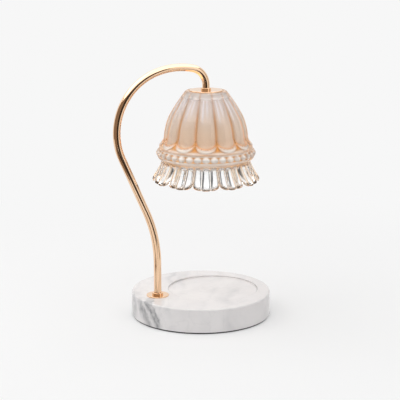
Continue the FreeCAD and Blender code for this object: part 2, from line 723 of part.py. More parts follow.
def make_holder_insert():
    """Ceramic insert. Each pin enters at a round hole, turns along a slot and hangs on the slot's lip."""
    body = doc.addObject("PartDesign::Body", "holder_insert")
    shoulder_radius = "places.insert_radius + dims.insert_shoulder"
    step = "dims.insert_height - dims.insert_shoulder_height"
    turn_up(body, "holder_insert", [
        ("0", "0"), ("places.insert_radius", "0"), ("places.insert_radius", step),
        (shoulder_radius, step), (shoulder_radius, "dims.insert_height"), ("0", "dims.insert_height")])
    pin = "dims.pin_spacing / 2"
    neck_room = "(dims.pin_neck_radius + dims.pin_clearance)"
    head_room = "(dims.pin_head_radius + dims.pin_clearance)"
    slot = cut_round(body, "pin_slot", "%s - %s" % (pin, neck_room), "%s + %s" % (pin, neck_room),
                     "0", "dims.lip_thickness",
                     "dims.lock_angle + 2 * asin(%s / (%s)) / 1 deg" % (neck_room, pin))
    channel = cut_round(body, "head_channel", "%s - %s" % (pin, head_room), "%s + %s" % (pin, head_room),
                        "dims.lip_thickness", "dims.channel_ceiling",
                        "dims.lock_angle + 2 * asin(%s / (%s)) / 1 deg" % (head_room, pin))
    entry_sketch = new_sketch(body, "pin_entry_outline", "XY_Plane")
    draw_circle(entry_sketch, "dims.pin_head_radius + dims.entry_clearance",
                "%s * cos(dims.lock_angle / 2)" % pin, "-%s * sin(dims.lock_angle / 2)" % pin)
    entry = cut_in(body, "pin_entry", entry_sketch, "dims.lip_thickness", reverse=True)
    tail_sketch = new_sketch(body, "tail_slot_outline", "XY_Plane")
    inner = "%s + dims.pin_head_radius - dims.contact_thickness - dims.fit_gap" % pin
    outer = "%s + dims.pin_head_radius + dims.fit_gap" % pin
    side = "dims.contact_width / 2 + dims.fit_gap"
    draw(tail_sketch, [(inner, "-(%s)" % side), (outer, "-(%s)" % side), (outer, side), (inner, side)])
    tail = cut_in(body, "tail_slot", tail_sketch, "dims.insert_height", reverse=True)
    pattern(body, "both_pins", [slot, channel, entry, tail], "2", 2)
    screws = new_sketch(body, "screw_holes_outline", "XY_Plane")
    heads = new_sketch(body, "screw_heads_outline", "XY_Plane")
    for sign in ("", "-"):
        draw_circle(screws, "dims.holder_screw_radius + dims.fit_gap", "0", sign + "dims.holder_screw_offset")
        draw_circle(heads, "dims.holder_screw_head_radius", "0", sign + "dims.holder_screw_offset")
    cut_in(body, "screw_holes", screws, "dims.insert_height", reverse=True)
    cut_in(body, "screw_heads", heads, "dims.holder_screw_head_height", reverse=True)
    return finish(body, "holder_insert", on_tip("places.holder_face"), turn="90")


def make_contact(name, turn):
    """Bronze strip: a blade over the pin's head and a tail up to its lead."""
    body = doc.addObject("PartDesign::Body", name)
    sketch = new_sketch(body, name + "_outline")
    outer = "dims.pin_spacing / 2 + dims.pin_head_radius"
    tail = "%s - dims.contact_thickness" % outer
    blade = "%s - dims.contact_reach" % outer
    floor = "dims.channel_ceiling - dims.contact_thickness"
    draw(sketch, [(blade, floor), (outer, floor), (outer, "dims.contact_tail_height"),
                  (tail, "dims.contact_tail_height"), (tail, "dims.channel_ceiling"),
                  (blade, "dims.channel_ceiling")])
    strip = pad_up(body, name + "_strip", sketch, "dims.contact_width")
    strip.Midplane = True
    return finish(body, name, on_tip("places.holder_face"), turn=turn)


def make_studs(name, spots, radius, floor, length, head_radius, head_floor, head_height):
    """Identical headed pins or screws as one group. Each spot is the (x, y) of a stud's axis."""
    studs = []
    for index, spot in enumerate(spots, start=1):
        shank = doc.addObject("Part::Cylinder", "%s_shank_%d" % (name, index))
        crown = doc.addObject("Part::Cylinder", "%s_head_%d" % (name, index))
        for piece, width, height, foot in ((shank, radius, length, floor),
                                           (crown, head_radius, head_height, head_floor)):
            piece.setExpression("Radius", width)
            piece.setExpression("Height", height)
            piece.setExpression("Placement.Base.x", spot[0])
            piece.setExpression("Placement.Base.y", spot[1])
            piece.setExpression("Placement.Base.z", foot)
        stud = doc.addObject("Part::Fuse", "%s_%d" % (name, index))
        stud.Base, stud.Tool = shank, crown
        studs.append(stud)
    group = doc.addObject("Part::Compound", name)
    group.Links = studs
    return group


def make_holder_screws():
    """The two long screws that pull insert, barrel and cap together."""
    spots = [("dims.holder_screw_offset", "0"), ("-dims.holder_screw_offset", "0")]
    screws = make_studs("holder_screws", spots, "dims.holder_screw_radius", "0", "dims.holder_screw_length",
                        "dims.holder_screw_head_radius - dims.fit_gap", "0", "dims.holder_screw_head_height")
    return finish(screws, "holder_screws", on_tip("places.holder_face"))


# ---------------------------------------------------------------------------------------------------------
# Bulb. Local Z = 0 is the base's top face, and the bulb hangs below it.
# ---------------------------------------------------------------------------------------------------------
def make_bulb():
    seat = on_tip("places.bulb_seat")
    neck = "dims.bulb_neck_length"
    rim = "(dims.bulb_length - dims.lens_thickness)"
    half_spacing = "dims.pin_spacing / 2"

    base = doc.addObject("PartDesign::Body", "bulb_base")
    turn_up(base, "bulb_base", [
        ("0", "-%s" % neck), ("dims.bulb_shoulder_radius", "-%s" % neck),
        ("dims.bulb_neck_radius", "-%s / 2" % neck), ("dims.bulb_neck_radius", "0"), ("0", "0")])
    roots = new_sketch(base, "pin_roots_outline", "XY_Plane")
    for sign in ("", "-"):
        draw_circle(roots, "dims.pin_neck_radius", sign + half_spacing)
    cut_in(base, "pin_roots", roots, "dims.pin_root_length")
    finish(base, "bulb_base", seat, turn="90 + dims.lock_angle / 2")

    spots = [(half_spacing, "0"), ("-" + half_spacing, "0")]
    pins = make_studs("bulb_pins", spots, "dims.pin_neck_radius", "-dims.pin_root_length",
                      "dims.pin_root_length + dims.pin_length", "dims.pin_head_radius",
                      "dims.pin_neck_length", "dims.pin_length - dims.pin_neck_length")
    finish(pins, "bulb_pins", seat, turn="90 + dims.lock_angle / 2")

    inner_top = "dims.bulb_shoulder_radius - dims.reflector_wall"
    inner_rim = "dims.bulb_radius - dims.reflector_wall"
    turned_part("bulb_reflector", [
        ("dims.bulb_radius", "-%s" % rim, "dims.reflector_bow_radius", 1),
        ("dims.bulb_shoulder_radius", "-%s" % neck),
        (inner_top, "-%s" % neck, "dims.reflector_bow_radius", -1), (inner_rim, "-%s" % rim)], seat)
    turned_part("bulb_lens", [
        ("0", "-dims.bulb_length"), ("dims.bulb_radius - dims.lens_thickness / 2", "-dims.bulb_length"),
        ("dims.bulb_radius", "dims.lens_thickness / 2 - dims.bulb_length"), ("dims.bulb_radius", "-%s" % rim),
        ("0", "-%s" % rim)], seat)
    turned_part("bulb_capsule", [
        ("0", "-%s - dims.capsule_length" % neck, "dims.capsule_radius", 1),
        ("dims.capsule_radius", "-%s - dims.capsule_length + dims.capsule_radius" % neck),
        ("dims.capsule_radius", "-%s" % neck), ("0", "-%s" % neck)], seat)


# ---------------------------------------------------------------------------------------------------------
# Pressed-glass shade. Local Z = 0 is the top of its neck, and heights are drops below it.
# ---------------------------------------------------------------------------------------------------------
def press_petals(body):
    """Cut the valleys between the dome's petals: a round tool swept up along the dome, once per petal."""
    tool_offset = "(dims.petal_groove_radius - dims.petal_groove_depth)"
    reach = "(dims.dome_bow_radius + %s)" % tool_offset
    half_pitch = "180 / dims.petal_count"
    neck_angle = "(places.dome_neck_angle - dims.petal_groove_start_angle)"
    foot_x = "places.dome_centre_x + %s * cos(places.dome_foot_angle)" % reach
    foot_z = "places.dome_centre_z + %s * sin(places.dome_foot_angle)" % reach
    path = new_sketch(body, "petal_valley_path", swing=half_pitch)
    draw(path, [(foot_x, foot_z, reach, 1),
                ("places.dome_centre_x + %s * cos(%s)" % (reach, neck_angle),
                 "places.dome_centre_z + %s * sin(%s)" % (reach, neck_angle))], closed=False)
    tool = new_sketch(body, "petal_valley_tool", "XY_Plane", foot_z)
    draw_circle(tool, "dims.petal_groove_radius", "(%s) * cos(%s)" % (foot_x, half_pitch),
                "(%s) * sin(%s)" % (foot_x, half_pitch))
    valley = body.newObject("PartDesign::SubtractivePipe", "petal_valley")
    valley.Profile = tool
    valley.Spine = (path, ["Edge1"])
    pattern(body, "petal_valleys", [valley], "dims.petal_count", 12)


def press_beads(body):
    """Ring of round beads on the collar's band."""
    bead = body.newObject("PartDesign::AdditiveSphere", "bead")
    bead.setExpression("Radius", "dims.bead_radius")
    bead.setExpression("Placement.Base.x", "dims.bead_circle_radius")
    bead.setExpression("Placement.Base.z", "places.bead_line")
    pattern(body, "beads", [bead], "places.flute_count", 36)


def press_skirt(body):
    """Round flutes down a smooth-bored skirt, whose lower edge is cut into one round-ended lobe per petal."""
    foot_x = "dims.waist_radius - dims.flute_radius"
    path = new_sketch(body, "flute_path")
    draw(path, [(foot_x, "places.waist", "dims.skirt_bow_radius", 1),
                ("dims.skirt_radius - dims.flute_radius", "places.skirt_foot")], closed=False)
    section = new_sketch(body, "flute_section", "XY_Plane", "places.waist")
    draw_circle(section, "dims.flute_radius", foot_x)
    flute = body.newObject("PartDesign::AdditivePipe", "flute")
    flute.Profile = section
    flute.Spine = (path, ["Edge1"])
    pattern(body, "flutes", [flute], "places.flute_count", 36)
    cut_bore(body, "skirt_bore", [
        ("0", "places.waist"), ("places.skirt_bore", "places.waist", "dims.skirt_bow_radius", 1),
        ("places.skirt_mouth", "places.skirt_foot"), ("0", "places.skirt_foot")])

    half = "places.lobe_half_width"
    notch = "places.skirt_foot + dims.lobe_depth"
    below = "places.skirt_foot - 2 * dims.flute_radius"
    lobe_radius = "(%s ^ 2 + dims.lobe_depth ^ 2) / (2 * dims.lobe_depth)" % half
    trim = new_sketch(body, "lobe_trim_outline", "YZ_Plane")
    draw(trim, [("-%s" % half, notch, lobe_radius, 1), (half, notch), (half, below), ("-%s" % half, below)])
    cut = cut_in(body, "lobe_trim", trim, "dims.skirt_radius + dims.flute_radius", reverse=True)
    pattern(body, "lobes", [cut], "dims.petal_count", 12)


def make_glass_shade():
    """Dome of convex petals, smooth collar, ring of beads and a flared skirt of fluted, round-ended lobes."""
    body = doc.addObject("PartDesign::Body", "glass_shade")
    half_wall = "dims.glass_wall / 2"
    shell_waist = "dims.waist_radius - dims.flute_rise"
    shell_rim = "dims.skirt_radius - dims.flute_rise"
    band_bore = "dims.collar_radius - dims.glass_wall - %s" % half_wall
    turn_up(body, "glass_shell", [
        ("places.glass_hole_radius", "0"),
        ("places.glass_hole_radius", "-dims.neck_plate"),
        ("dims.neck_radius - %s" % half_wall, "-dims.neck_plate", "dims.dome_bow_radius", -1),
        ("dims.dome_radius - dims.glass_wall", "places.dome_foot"),
        (band_bore, "places.collar_edge"),
        (band_bore, "places.band_foot"),
        ("places.skirt_bore", "places.waist", "dims.skirt_bow_radius", 1),
        ("places.skirt_mouth", "places.skirt_foot"),
        (shell_rim, "places.skirt_foot", "dims.skirt_bow_radius", -1),
        (shell_waist, "places.waist"),
        ("dims.collar_radius", "places.band_foot"),
        ("dims.collar_radius", "places.collar_edge"),
        ("dims.dome_radius", "places.dome_foot", "dims.dome_bow_radius", 1),
        ("dims.neck_radius", "-dims.neck_edge_round", "dims.neck_edge_round", 1),
        ("dims.neck_radius - dims.neck_edge_round", "0")])
    press_petals(body)
    press_skirt(body)
    press_beads(body)
    return finish(body, "glass_shade", on_tip("places.glass_top"), turn="dims.petal_phase")


# ---------------------------------------------------------------------------------------------------------
# Wiring
# ---------------------------------------------------------------------------------------------------------
def make_terminal_block():
    """Two-pole block stuck to the wiring hollow's ceiling: wire ways along X, screws from below."""
    body = doc.addObject("PartDesign::Body", "terminal_block")
    outline = new_sketch(body, "block_outline", "XY_Plane")
    half_length, half_width = "dims.block_length / 2", "dims.block_width / 2"
    draw(outline, [("-" + half_length, "-" + half_width), (half_length, "-" + half_width),
                   (half_length, half_width), ("-" + half_length, half_width)])
    pad_up(body, "block", outline, "dims.block_height")
    pole = "dims.block_height - dims.sleeve_drop"
    ways = new_sketch(body, "wire_ways_outline", "YZ_Plane", "-" + half_length)
    holes = new_sketch(body, "screw_ways_outline", "XY_Plane")
    for sign in ("", "-"):
        draw_circle(ways, "dims.sleeve_radius + dims.fit_gap", sign + "dims.pole_pitch / 2", pole)
        for end in ("", "-"):
            draw_circle(holes, "dims.terminal_screw_head_radius + dims.pin_clearance",
                        end + "dims.terminal_screw_spacing / 2", sign + "dims.pole_pitch / 2")
    cut_in(body, "wire_ways", ways, "dims.block_length", reverse=True)
    cut_in(body, "screw_ways", holes, pole, reverse=True)
    spot = ("places.block_centre", "0", "places.hollow_top - dims.block_height")
    return finish(body, "terminal_block", spot)


def make_sleeve(name, side):
    """Brass sleeve that joins one lead to one core of the mains cord."""
    body = doc.addObject("PartDesign::Body", name)
    section = new_sketch(body, name + "_section", "YZ_Plane", "-dims.sleeve_length / 2")
    draw_circle(section, "dims.sleeve_radius")
    draw_circle(section, "dims.sleeve_bore_radius")
    pad_up(body, name + "_tube", section, "dims.sleeve_length")
    holes = new_sketch(body, name + "_screw_holes", "XY_Plane")
    for end in ("", "-"):
        draw_circle(holes, "dims.terminal_screw_radius + dims.fit_gap",
                    end + "dims.terminal_screw_spacing / 2")
    cut_in(body, name + "_tapping", holes, "dims.sleeve_radius")
    return finish(body, name, ("places.block_centre", side + "dims.pole_pitch / 2", "places.pole_height"))


def make_terminal_screws():
    spots = [(end + "dims.terminal_screw_spacing / 2", side + "dims.pole_pitch / 2")
             for end in ("", "-") for side in ("", "-")]
    screws = make_studs("terminal_screws", spots, "dims.terminal_screw_radius", "0",
                        "dims.terminal_screw_length", "dims.terminal_screw_head_radius",
                        "0", "dims.terminal_screw_head_height")
    return finish(screws, "terminal_screws", ("places.block_centre", "0", "places.terminal_screw_floor"))


def rounded_route(points, tight_corner=None, tight_radius=None):
    """Straight runs joined by tangent arcs, each as large as its runs allow or as tight as it has to be."""
    edges, last = [], points[0]
    for index in range(1, len(points) - 1):
        corner = points[index]
        before, after = corner - points[index - 1], points[index + 1] - corner
        half_turn = before.getAngle(after) / 2
        shorter = min(before.Length, after.Length)
        radius = tight_radius if index == tight_corner else RUN_SHARE * shorter / tan(half_turn)
        tangent = radius * tan(half_turn)
        start = corner - before.normalize() * tangent
        end = corner + after.normalize() * tangent
        inwards = ((start + end) / 2 - corner).normalize()
        middle = corner + inwards * radius * (1 / cos(half_turn) - 1)
        edges += [Part.LineSegment(last, start).toShape(), Part.Arc(start, middle, end).toShape()]
        last = end
    edges.append(Part.LineSegment(last, points[-1]).toShape())
    return edges


def make_lead(name, side, arm_path):
    """Insulated lead: terminal block, foot stub, all the way up inside the arm, and out to its contact."""
    lead_y = side * number("dims.lead_pitch / 2")
    pole_y = side * number("dims.pole_pitch / 2")
    tail_y = side * number("dims.pin_spacing / 2 + dims.pin_head_radius - dims.contact_thickness"
                           " - dims.conductor_radius")
    foot_x, tip_x, pole_z = number("places.foot_x"), number("places.tip_x"), number("places.pole_height")
    run_z = number("dims.lead_run_height")
    mouth = Vector(number("places.block_centre - dims.sleeve_length / 2"), pole_y, pole_z)
    below = rounded_route([
        mouth,
        mouth - Vector(number("dims.lead_straight"), 0, 0),
        Vector(mouth.x - number("dims.lead_straight + dims.lead_slope_run"), lead_y, run_z),
        Vector(foot_x, lead_y, run_z),
        Vector(foot_x, lead_y, number("places.tube_foot_z"))], 3, number("dims.lead_turn_radius"))
    inside = arm_path.Shape.copy()
    inside.translate(Vector(0, lead_y, 0))
    fan_z = number("places.tip_stub_floor - dims.lead_fan_drop")
    tail_z = number("places.holder_face + dims.contact_tail_height")
    above = rounded_route([
        Vector(tip_x, lead_y, number("places.tube_tip_z")),
        Vector(tip_x, lead_y, fan_z),
        Vector(tip_x, tail_y, tail_z + number("dims.lead_end_straight")),
        Vector(tip_x, tail_y, tail_z + number("dims.fit_gap"))])
    way = Part.Wire(Part.__sortEdges__(below + inside.Edges + above))
    radius = number("dims.lead_radius")
    section = Part.Wire(Part.makeCircle(radius, mouth, Vector(1, 0, 0)))
    insulation = way.makePipeShell([section], True, False)
    if abs(insulation.Volume / (way.Length * pi * radius * radius) - 1) > 0.01:
        raise RuntimeError("%s is not a whole tube" % name)
    core = number("dims.conductor_radius")
    screwed_end = Part.makeCylinder(core, number("dims.sleeve_length / 2"), mouth, Vector(1, 0, 0))
    bare = number("dims.lead_bare_end")
    contact_end = Part.makeCylinder(core, bare + number("dims.fit_gap"), Vector(tip_x, tail_y, tail_z - bare))
    lead = doc.addObject("Part::Feature", name)
    lead.Shape = insulation.fuse([screwed_end, contact_end]).removeSplitter()
    return finish(lead, name)


# ---------------------------------------------------------------------------------------------------------
# Build
# ---------------------------------------------------------------------------------------------------------
make_marble_base()
make_base_pad()
make_cord_grommet()
make_foot()
arm_path = make_arm()
doc.recompute()
make_ferrule("tip_ferrule", "dims.tip_collar_radius", "dims.tip_collar_height", "dims.tip_stub_length",
             on_tip("places.cap_top"))
make_bush("tip_bush", on_tip("places.tip_stub_floor"))
make_shade_cap()
make_seals_and_ring()
make_holder_shell()
make_holder_insert()
make_contact("contact_live", "90")
make_contact("contact_neutral", "270")
make_holder_screws()
make_bulb()
make_glass_shade()
make_terminal_block()
make_sleeve("terminal_sleeve_live", "")
make_sleeve("terminal_sleeve_neutral", "-")
make_terminal_screws()
make_lead("lead_live", 1, arm_path)
make_lead("lead_neutral", -1, arm_path)

doc.recompute()
for item in doc.Objects:
    if "Invalid" in item.State or "Error" in item.State:
        raise RuntimeError("%s failed: %s" % (item.Name, item.State))
for sub_part in SUB_PARTS:
    if sub_part.Shape.isNull() or not sub_part.Shape.isValid():
        raise RuntimeError("%s has no valid shape" % sub_part.Label)

os.makedirs("parts", exist_ok=True)
for sub_part in SUB_PARTS:
    sub_part.Shape.exportStep(os.path.join("parts", sub_part.Label + ".step"))
    box = sub_part.Shape.BoundBox
    print("%-24s %d solids %9.1f mm3  z %7.2f to %7.2f" % (
        sub_part.Label, len(sub_part.Shape.Solids), sub_part.Shape.Volume, box.ZMin, box.ZMax))
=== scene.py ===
# %% [markdown]
# # Candle warmer lamp
# A marble disc carries one bent metal tube. A pressed-glass shade hangs from the tube's tip, round
# a reflector bulb that melts the candle below it. The solids come in as a fixed frame, and each
# cell below either gives one of them its finish or models a piece that needs finer forms than the
# solids have. All lengths are in metres. The frame's +Z is up, and the arm stands in the XZ plane.

# %% Load the frame
from math import cos, radians, sin

import bpy
import numpy as np
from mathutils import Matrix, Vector


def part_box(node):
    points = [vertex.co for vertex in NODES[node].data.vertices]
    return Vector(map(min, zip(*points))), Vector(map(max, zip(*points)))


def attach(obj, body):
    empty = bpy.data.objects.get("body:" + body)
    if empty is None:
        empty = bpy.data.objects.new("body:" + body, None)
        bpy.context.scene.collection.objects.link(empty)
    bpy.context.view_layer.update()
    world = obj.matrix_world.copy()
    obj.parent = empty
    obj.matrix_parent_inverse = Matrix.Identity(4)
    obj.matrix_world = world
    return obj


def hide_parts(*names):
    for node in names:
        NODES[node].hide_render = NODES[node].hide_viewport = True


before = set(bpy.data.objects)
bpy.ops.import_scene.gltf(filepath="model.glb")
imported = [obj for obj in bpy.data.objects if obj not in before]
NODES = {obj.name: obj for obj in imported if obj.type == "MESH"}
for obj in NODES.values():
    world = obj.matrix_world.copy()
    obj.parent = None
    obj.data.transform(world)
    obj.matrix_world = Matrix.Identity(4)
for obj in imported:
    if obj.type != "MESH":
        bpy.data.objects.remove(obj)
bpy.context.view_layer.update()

MM = 0.001


def deselect():
    """Operators act on all that is selected, and the frame's solids come in selected."""
    bpy.ops.object.select_all(action="DESELECT")


# %% [markdown]
# ## Camera
# A long lens from the front left, a little above the lamp, as for a catalogue picture. A camera can
# be placed by eye in the viewport, but numbers give the same view each time. The view is almost
# free of perspective, so the ring of beads and the base stay flat ellipses.

# %% Camera
EYE = Vector((-0.652065, -1.349122, 0.477917))
LOOK = Vector((0.423089, 0.876818, -0.228443))  # the direction it looks in
LENS = 129.02                                   # focal length in millimetres

deselect()
bpy.ops.object.camera_add(location=EYE, rotation=LOOK.to_track_quat("-Z", "Y").to_euler())
camera = bpy.context.object
camera.name = "catalogue_camera"
camera.data.lens = LENS
bpy.context.scene.camera = camera
print("camera:", round(EYE.length, 3), "m from the base's middle")

# %% [markdown]
# ## Small helpers for materials
# A material is a tree of nodes. It can be drawn by hand in the shader editor, but code can be read
# and changed in one place. These helpers make a material, add a node to it and join sockets by
# name, so that each finish below reads as a short list of what feeds what.

# %% Nodes and joins
def new_material(name):
    """A material with no nodes yet, and its tree."""
    material = bpy.data.materials.new(name)
    material.use_nodes = True
    material.node_tree.nodes.clear()
    return material, material.node_tree


def add(tree, kind, **settings):
    """Add one node. A setting fills the input of its name, and any other is an attribute."""
    node = tree.nodes.new(kind)
    for name, value in settings.items():
        label = name.replace("_", " ")
        if label in node.inputs:
            node.inputs[label].default_value = value
        else:
            setattr(node, name, value)
    return node


def join(tree, source, target):
    tree.links.new(source, target)


def to_surface(tree, source):
    """Add the output node, so that this shader is what the surface shows."""
    join(tree, source, add(tree, "ShaderNodeOutputMaterial").inputs["Surface"])


def dress(name, material):
    """Give a solid of the frame its finish."""
    for slot in NODES[name].material_slots:
        slot.material = material


print("helpers: nodes, joins and dressing")

# %% Numbers, ramps and mixes
def math_node(tree, operation, first, second=None, third=None, clamp=False):
    """One Math node. Its inputs are sockets or plain numbers."""
    node = add(tree, "ShaderNodeMath", operation=operation, use_clamp=clamp)
    for index, value in enumerate((first, second, third)):
        if value is None:
            continue
        if isinstance(value, (int, float)):
            node.inputs[index].default_value = value
        else:
            join(tree, value, node.inputs[index])
    return node.outputs[0]


def ramp(tree, factor, stops):
    """A colour ramp with its stops given as (position, grey or colour)."""
    node = add(tree, "ShaderNodeValToRGB")
    colours = node.color_ramp.elements
    while len(colours) < len(stops):
        colours.new(0.5)
    for element, (position, colour) in zip(colours, stops):
        rgb = colour if isinstance(colour, tuple) else (colour, colour, colour)
        element.position = position
        element.color = (*rgb, 1)
    join(tree, factor, node.inputs["Fac"])
    return node.outputs["Color"]


def mix_colours(tree, factor, first, second):
    """Mix two colours. Each input is a socket, a number or a colour."""
    node = add(tree, "ShaderNodeMix", data_type="RGBA")
    share, start, end = (node.inputs[index] for index in (0, 6, 7))  # those of its colour form
    for socket, value in ((share, factor), (start, first), (end, second)):
        if isinstance(value, tuple):
            socket.default_value = (*value, 1)
        elif isinstance(value, (int, float)):
            socket.default_value = value
        else:
            join(tree, value, socket)
    return node.outputs[2]


print("helpers: math, ramps and mixes")

# %% Patterns and bumps
def object_place(tree):
    """Coordinates that stay with the piece, in metres. Every pattern here reads them."""
    return add(tree, "ShaderNodeTexCoord").outputs["Object"]


def noise(tree, place, **settings):
    """A noise texture, read at a place."""
    node = add(tree, "ShaderNodeTexNoise", **settings)
    join(tree, place, node.inputs["Vector"])
    return node


def add_bump(tree, shader, height, strength, distance):
    """Let a height tilt the shader's normal. The mesh itself stays as it is."""
    node = add(tree, "ShaderNodeBump", Strength=strength, Distance=distance)
    join(tree, height, node.inputs["Height"])
    join(tree, node.outputs["Normal"], shader.inputs["Normal"])


print("helpers: places, noise and bumps")

# %% [markdown]
# ## Shared effects
# Two effects come back in most finishes. Fine grain breaks up the gloss and adds a shallow bump,
# and wear gives a slow, cloudy change of tone. Each could be drawn again in every material. As a
# node group it is drawn once and reused with its own numbers.

# %% Grain group
def make_grain_group():
    """Fine noise at one scale: a height for Bump and a roughness around a middle value."""
    group = bpy.data.node_groups.new("fine_grain", "ShaderNodeTree")
    face = group.interface
    for name, value in (("Scale", 900.0), ("Roughness", 0.3), ("Spread", 0.1)):
        socket = face.new_socket(name, in_out="INPUT", socket_type="NodeSocketFloat")
        socket.default_value = value
    for name in ("Height", "Roughness"):
        face.new_socket(name, in_out="OUTPUT", socket_type="NodeSocketFloat")
    given, result = add(group, "NodeGroupInput").outputs, add(group, "NodeGroupOutput").inputs
    place = object_place(group)
    fine = noise(group, place, Detail=4.0)
    join(group, given["Scale"], fine.inputs["Scale"])
    broad = noise(group, place, Scale=28.0, Detail=3.0)
    both = math_node(group, "ADD", fine.outputs["Fac"], broad.outputs["Fac"])
    swing = math_node(group, "SUBTRACT", both, 1.0)
    rough = math_node(group, "MULTIPLY_ADD", swing, given["Spread"], given["Roughness"])
    join(group, fine.outputs["Fac"], result["Height"])
    join(group, rough, result["Roughness"])
    return group


GRAIN = make_grain_group()


def add_grain(tree, shader, scale, roughness, spread):
    """Vary a shader's gloss by the grain, and return the grain's height."""
    node = add(tree, "ShaderNodeGroup", node_tree=GRAIN, Scale=scale, Roughness=roughness,
               Spread=spread)
    join(tree, node.outputs["Roughness"], shader.inputs["Roughness"])
    return node.outputs["Height"]


print("group:", GRAIN.name)

# %% Cloud group
def make_cloud_group():
    """Slow cloudy tone between two colours."""
    group = bpy.data.node_groups.new("cloudy_tone", "ShaderNodeTree")
    face = group.interface
    for name in ("Light", "Dark"):
        face.new_socket(name, in_out="INPUT", socket_type="NodeSocketColor")
    scale = face.new_socket("Scale", in_out="INPUT", socket_type="NodeSocketFloat")
    scale.default_value = 60.0
    face.new_socket("Color", in_out="OUTPUT", socket_type="NodeSocketColor")
    given, result = add(group, "NodeGroupInput").outputs, add(group, "NodeGroupOutput").inputs
    cloud = noise(group, object_place(group), Detail=5.0, Distortion=0.4)
    join(group, given["Scale"], cloud.inputs["Scale"])
    steep = ramp(group, cloud.outputs["Fac"], [(0.35, 0.0), (0.68, 1.0)])
    join(group, mix_colours(group, steep, given["Light"], given["Dark"]), result["Color"])
    return group


CLOUD = make_cloud_group()


def clouds(tree, light, dark, scale):
    """The cloudy tone as one colour socket."""
    node = add(tree, "ShaderNodeGroup", node_tree=CLOUD, Light=(*light, 1), Dark=(*dark, 1),
               Scale=scale)
    return node.outputs["Color"]


print("group:", CLOUD.name)

# %% Solid finish
def solid_finish(name, light, dark, scale, roughness, spread=0.1, grain_scale=900.0, bump=0.1,
                 metallic=0.0):
    """An opaque finish: cloudy tone, grainy gloss and a shallow bump on one Principled shader."""
    material, tree = new_material(name)
    shader = add(tree, "ShaderNodeBsdfPrincipled", Metallic=metallic)
    join(tree, clouds(tree, light, dark, scale), shader.inputs["Base Color"])
    height = add_grain(tree, shader, grain_scale, roughness, spread)
    add_bump(tree, shader, height, strength=bump, distance=0.0004)
    to_surface(tree, shader.outputs["BSDF"])
    return material


def finish_pieces(pieces, name, light, dark, scale, **rest):
    """One solid finish for one or more pieces."""
    material = solid_finish(name, light, dark, scale, **rest)
    for piece in pieces:
        dress(piece, material)


print("solid finish: ready for hardware")

# %% [markdown]
# ## Marble base
# The disc is white marble, polished all over. Marble gets its veins from thin sheets of other
# minerals that run right through the block, so one sheet shows as a line on the top and as a
# slanting stroke on the side. The veins here are such sheets: a plane's distance, warped by noise
# and read through a ramp. Painted stripes would be quicker, but they would not meet at the rim.

# %% Sheets and fades
RAMP_SPAN = 0.2                                 # metres that a vein's ramp reaches across


def vein_sheets(tree, place, normal, stops, warp_size, warp_scale):
    """Sheets across one direction: a warped distance in metres, read by a ramp."""
    warp = noise(tree, place, Scale=warp_scale, Detail=6.0, Roughness=0.62)
    along = add(tree, "ShaderNodeVectorMath", operation="DOT_PRODUCT")
    join(tree, place, along.inputs[0])
    along.inputs[1].default_value = Vector(normal).normalized()
    shifted = math_node(tree, "SUBTRACT", warp.outputs["Fac"], 0.5)
    warped = math_node(tree, "MULTIPLY_ADD", shifted, warp_size, along.outputs["Value"])
    return ramp(tree, math_node(tree, "MULTIPLY_ADD", warped, 1 / RAMP_SPAN, 0.5), stops)


def fade_from(tree, place, centre, near, far):
    """1 within near of a point, down to 0 at far."""
    away = add(tree, "ShaderNodeVectorMath", operation="DISTANCE")
    join(tree, place, away.inputs[0])
    away.inputs[1].default_value = centre
    node = add(tree, "ShaderNodeMapRange", interpolation_type="SMOOTHSTEP", From_Min=near,
               From_Max=far, To_Min=1.0, To_Max=0.0)
    join(tree, away.outputs["Value"], node.inputs["Value"])
    return node.outputs["Result"]


marble, tree = new_material("polished_marble")
place = object_place(tree)
stone = clouds(tree, (0.88, 0.855, 0.85), (0.80, 0.775, 0.775), 22.0)
print("marble: white stone, no veins yet")

# %% Strong vein
VEIN_DARK = (0.19, 0.195, 0.205)
STRONG_STOPS = [
    (0.290, 0.0), (0.306, 0.35), (0.320, 0.80), (0.332, 0.55), (0.342, 0.12), (0.352, 0.35),
    (0.364, 0.95), (0.378, 0.60), (0.390, 0.85), (0.400, 0.10), (0.415, 0.0)]

sheet = vein_sheets(tree, place, (0.679, -0.580, 0.451), STRONG_STOPS, warp_size=0.022,
                    warp_scale=38.0)
near_foot = fade_from(tree, place, (-0.0735, -0.020, 0.008), near=0.014, far=0.034)
smoke = noise(tree, place, Scale=95.0, Detail=4.0, Roughness=0.6)
smoky = ramp(tree, smoke.outputs["Fac"], [(0.34, 0.35), (0.56, 1.0)])
strong = math_node(tree, "MULTIPLY", math_node(tree, "MULTIPLY", sheet, near_foot), smoky)
patch = fade_from(tree, place, (-0.0734, 0.0156, 0.014), near=0.006, far=0.019)
patch = math_node(tree, "MULTIPLY", math_node(tree, "MULTIPLY", patch, smoky), 0.55)
strong = math_node(tree, "MAXIMUM", strong, patch)
stone = mix_colours(tree, strong, stone, VEIN_DARK)
print("strong vein:", len(STRONG_STOPS), "stops, by the arm's foot")

# %% Soft veins and threads
VEIN_GREY, THREAD_GREY = (0.40, 0.41, 0.43), (0.50, 0.50, 0.51)
SOFT_STOPS = [
    (0.12, 0.0), (0.15, 0.30), (0.17, 0.0), (0.30, 0.0), (0.335, 0.42), (0.352, 0.06),
    (0.40, 0.26), (0.43, 0.0), (0.55, 0.0), (0.575, 0.30), (0.60, 0.04), (0.70, 0.34), (0.73, 0.0)]

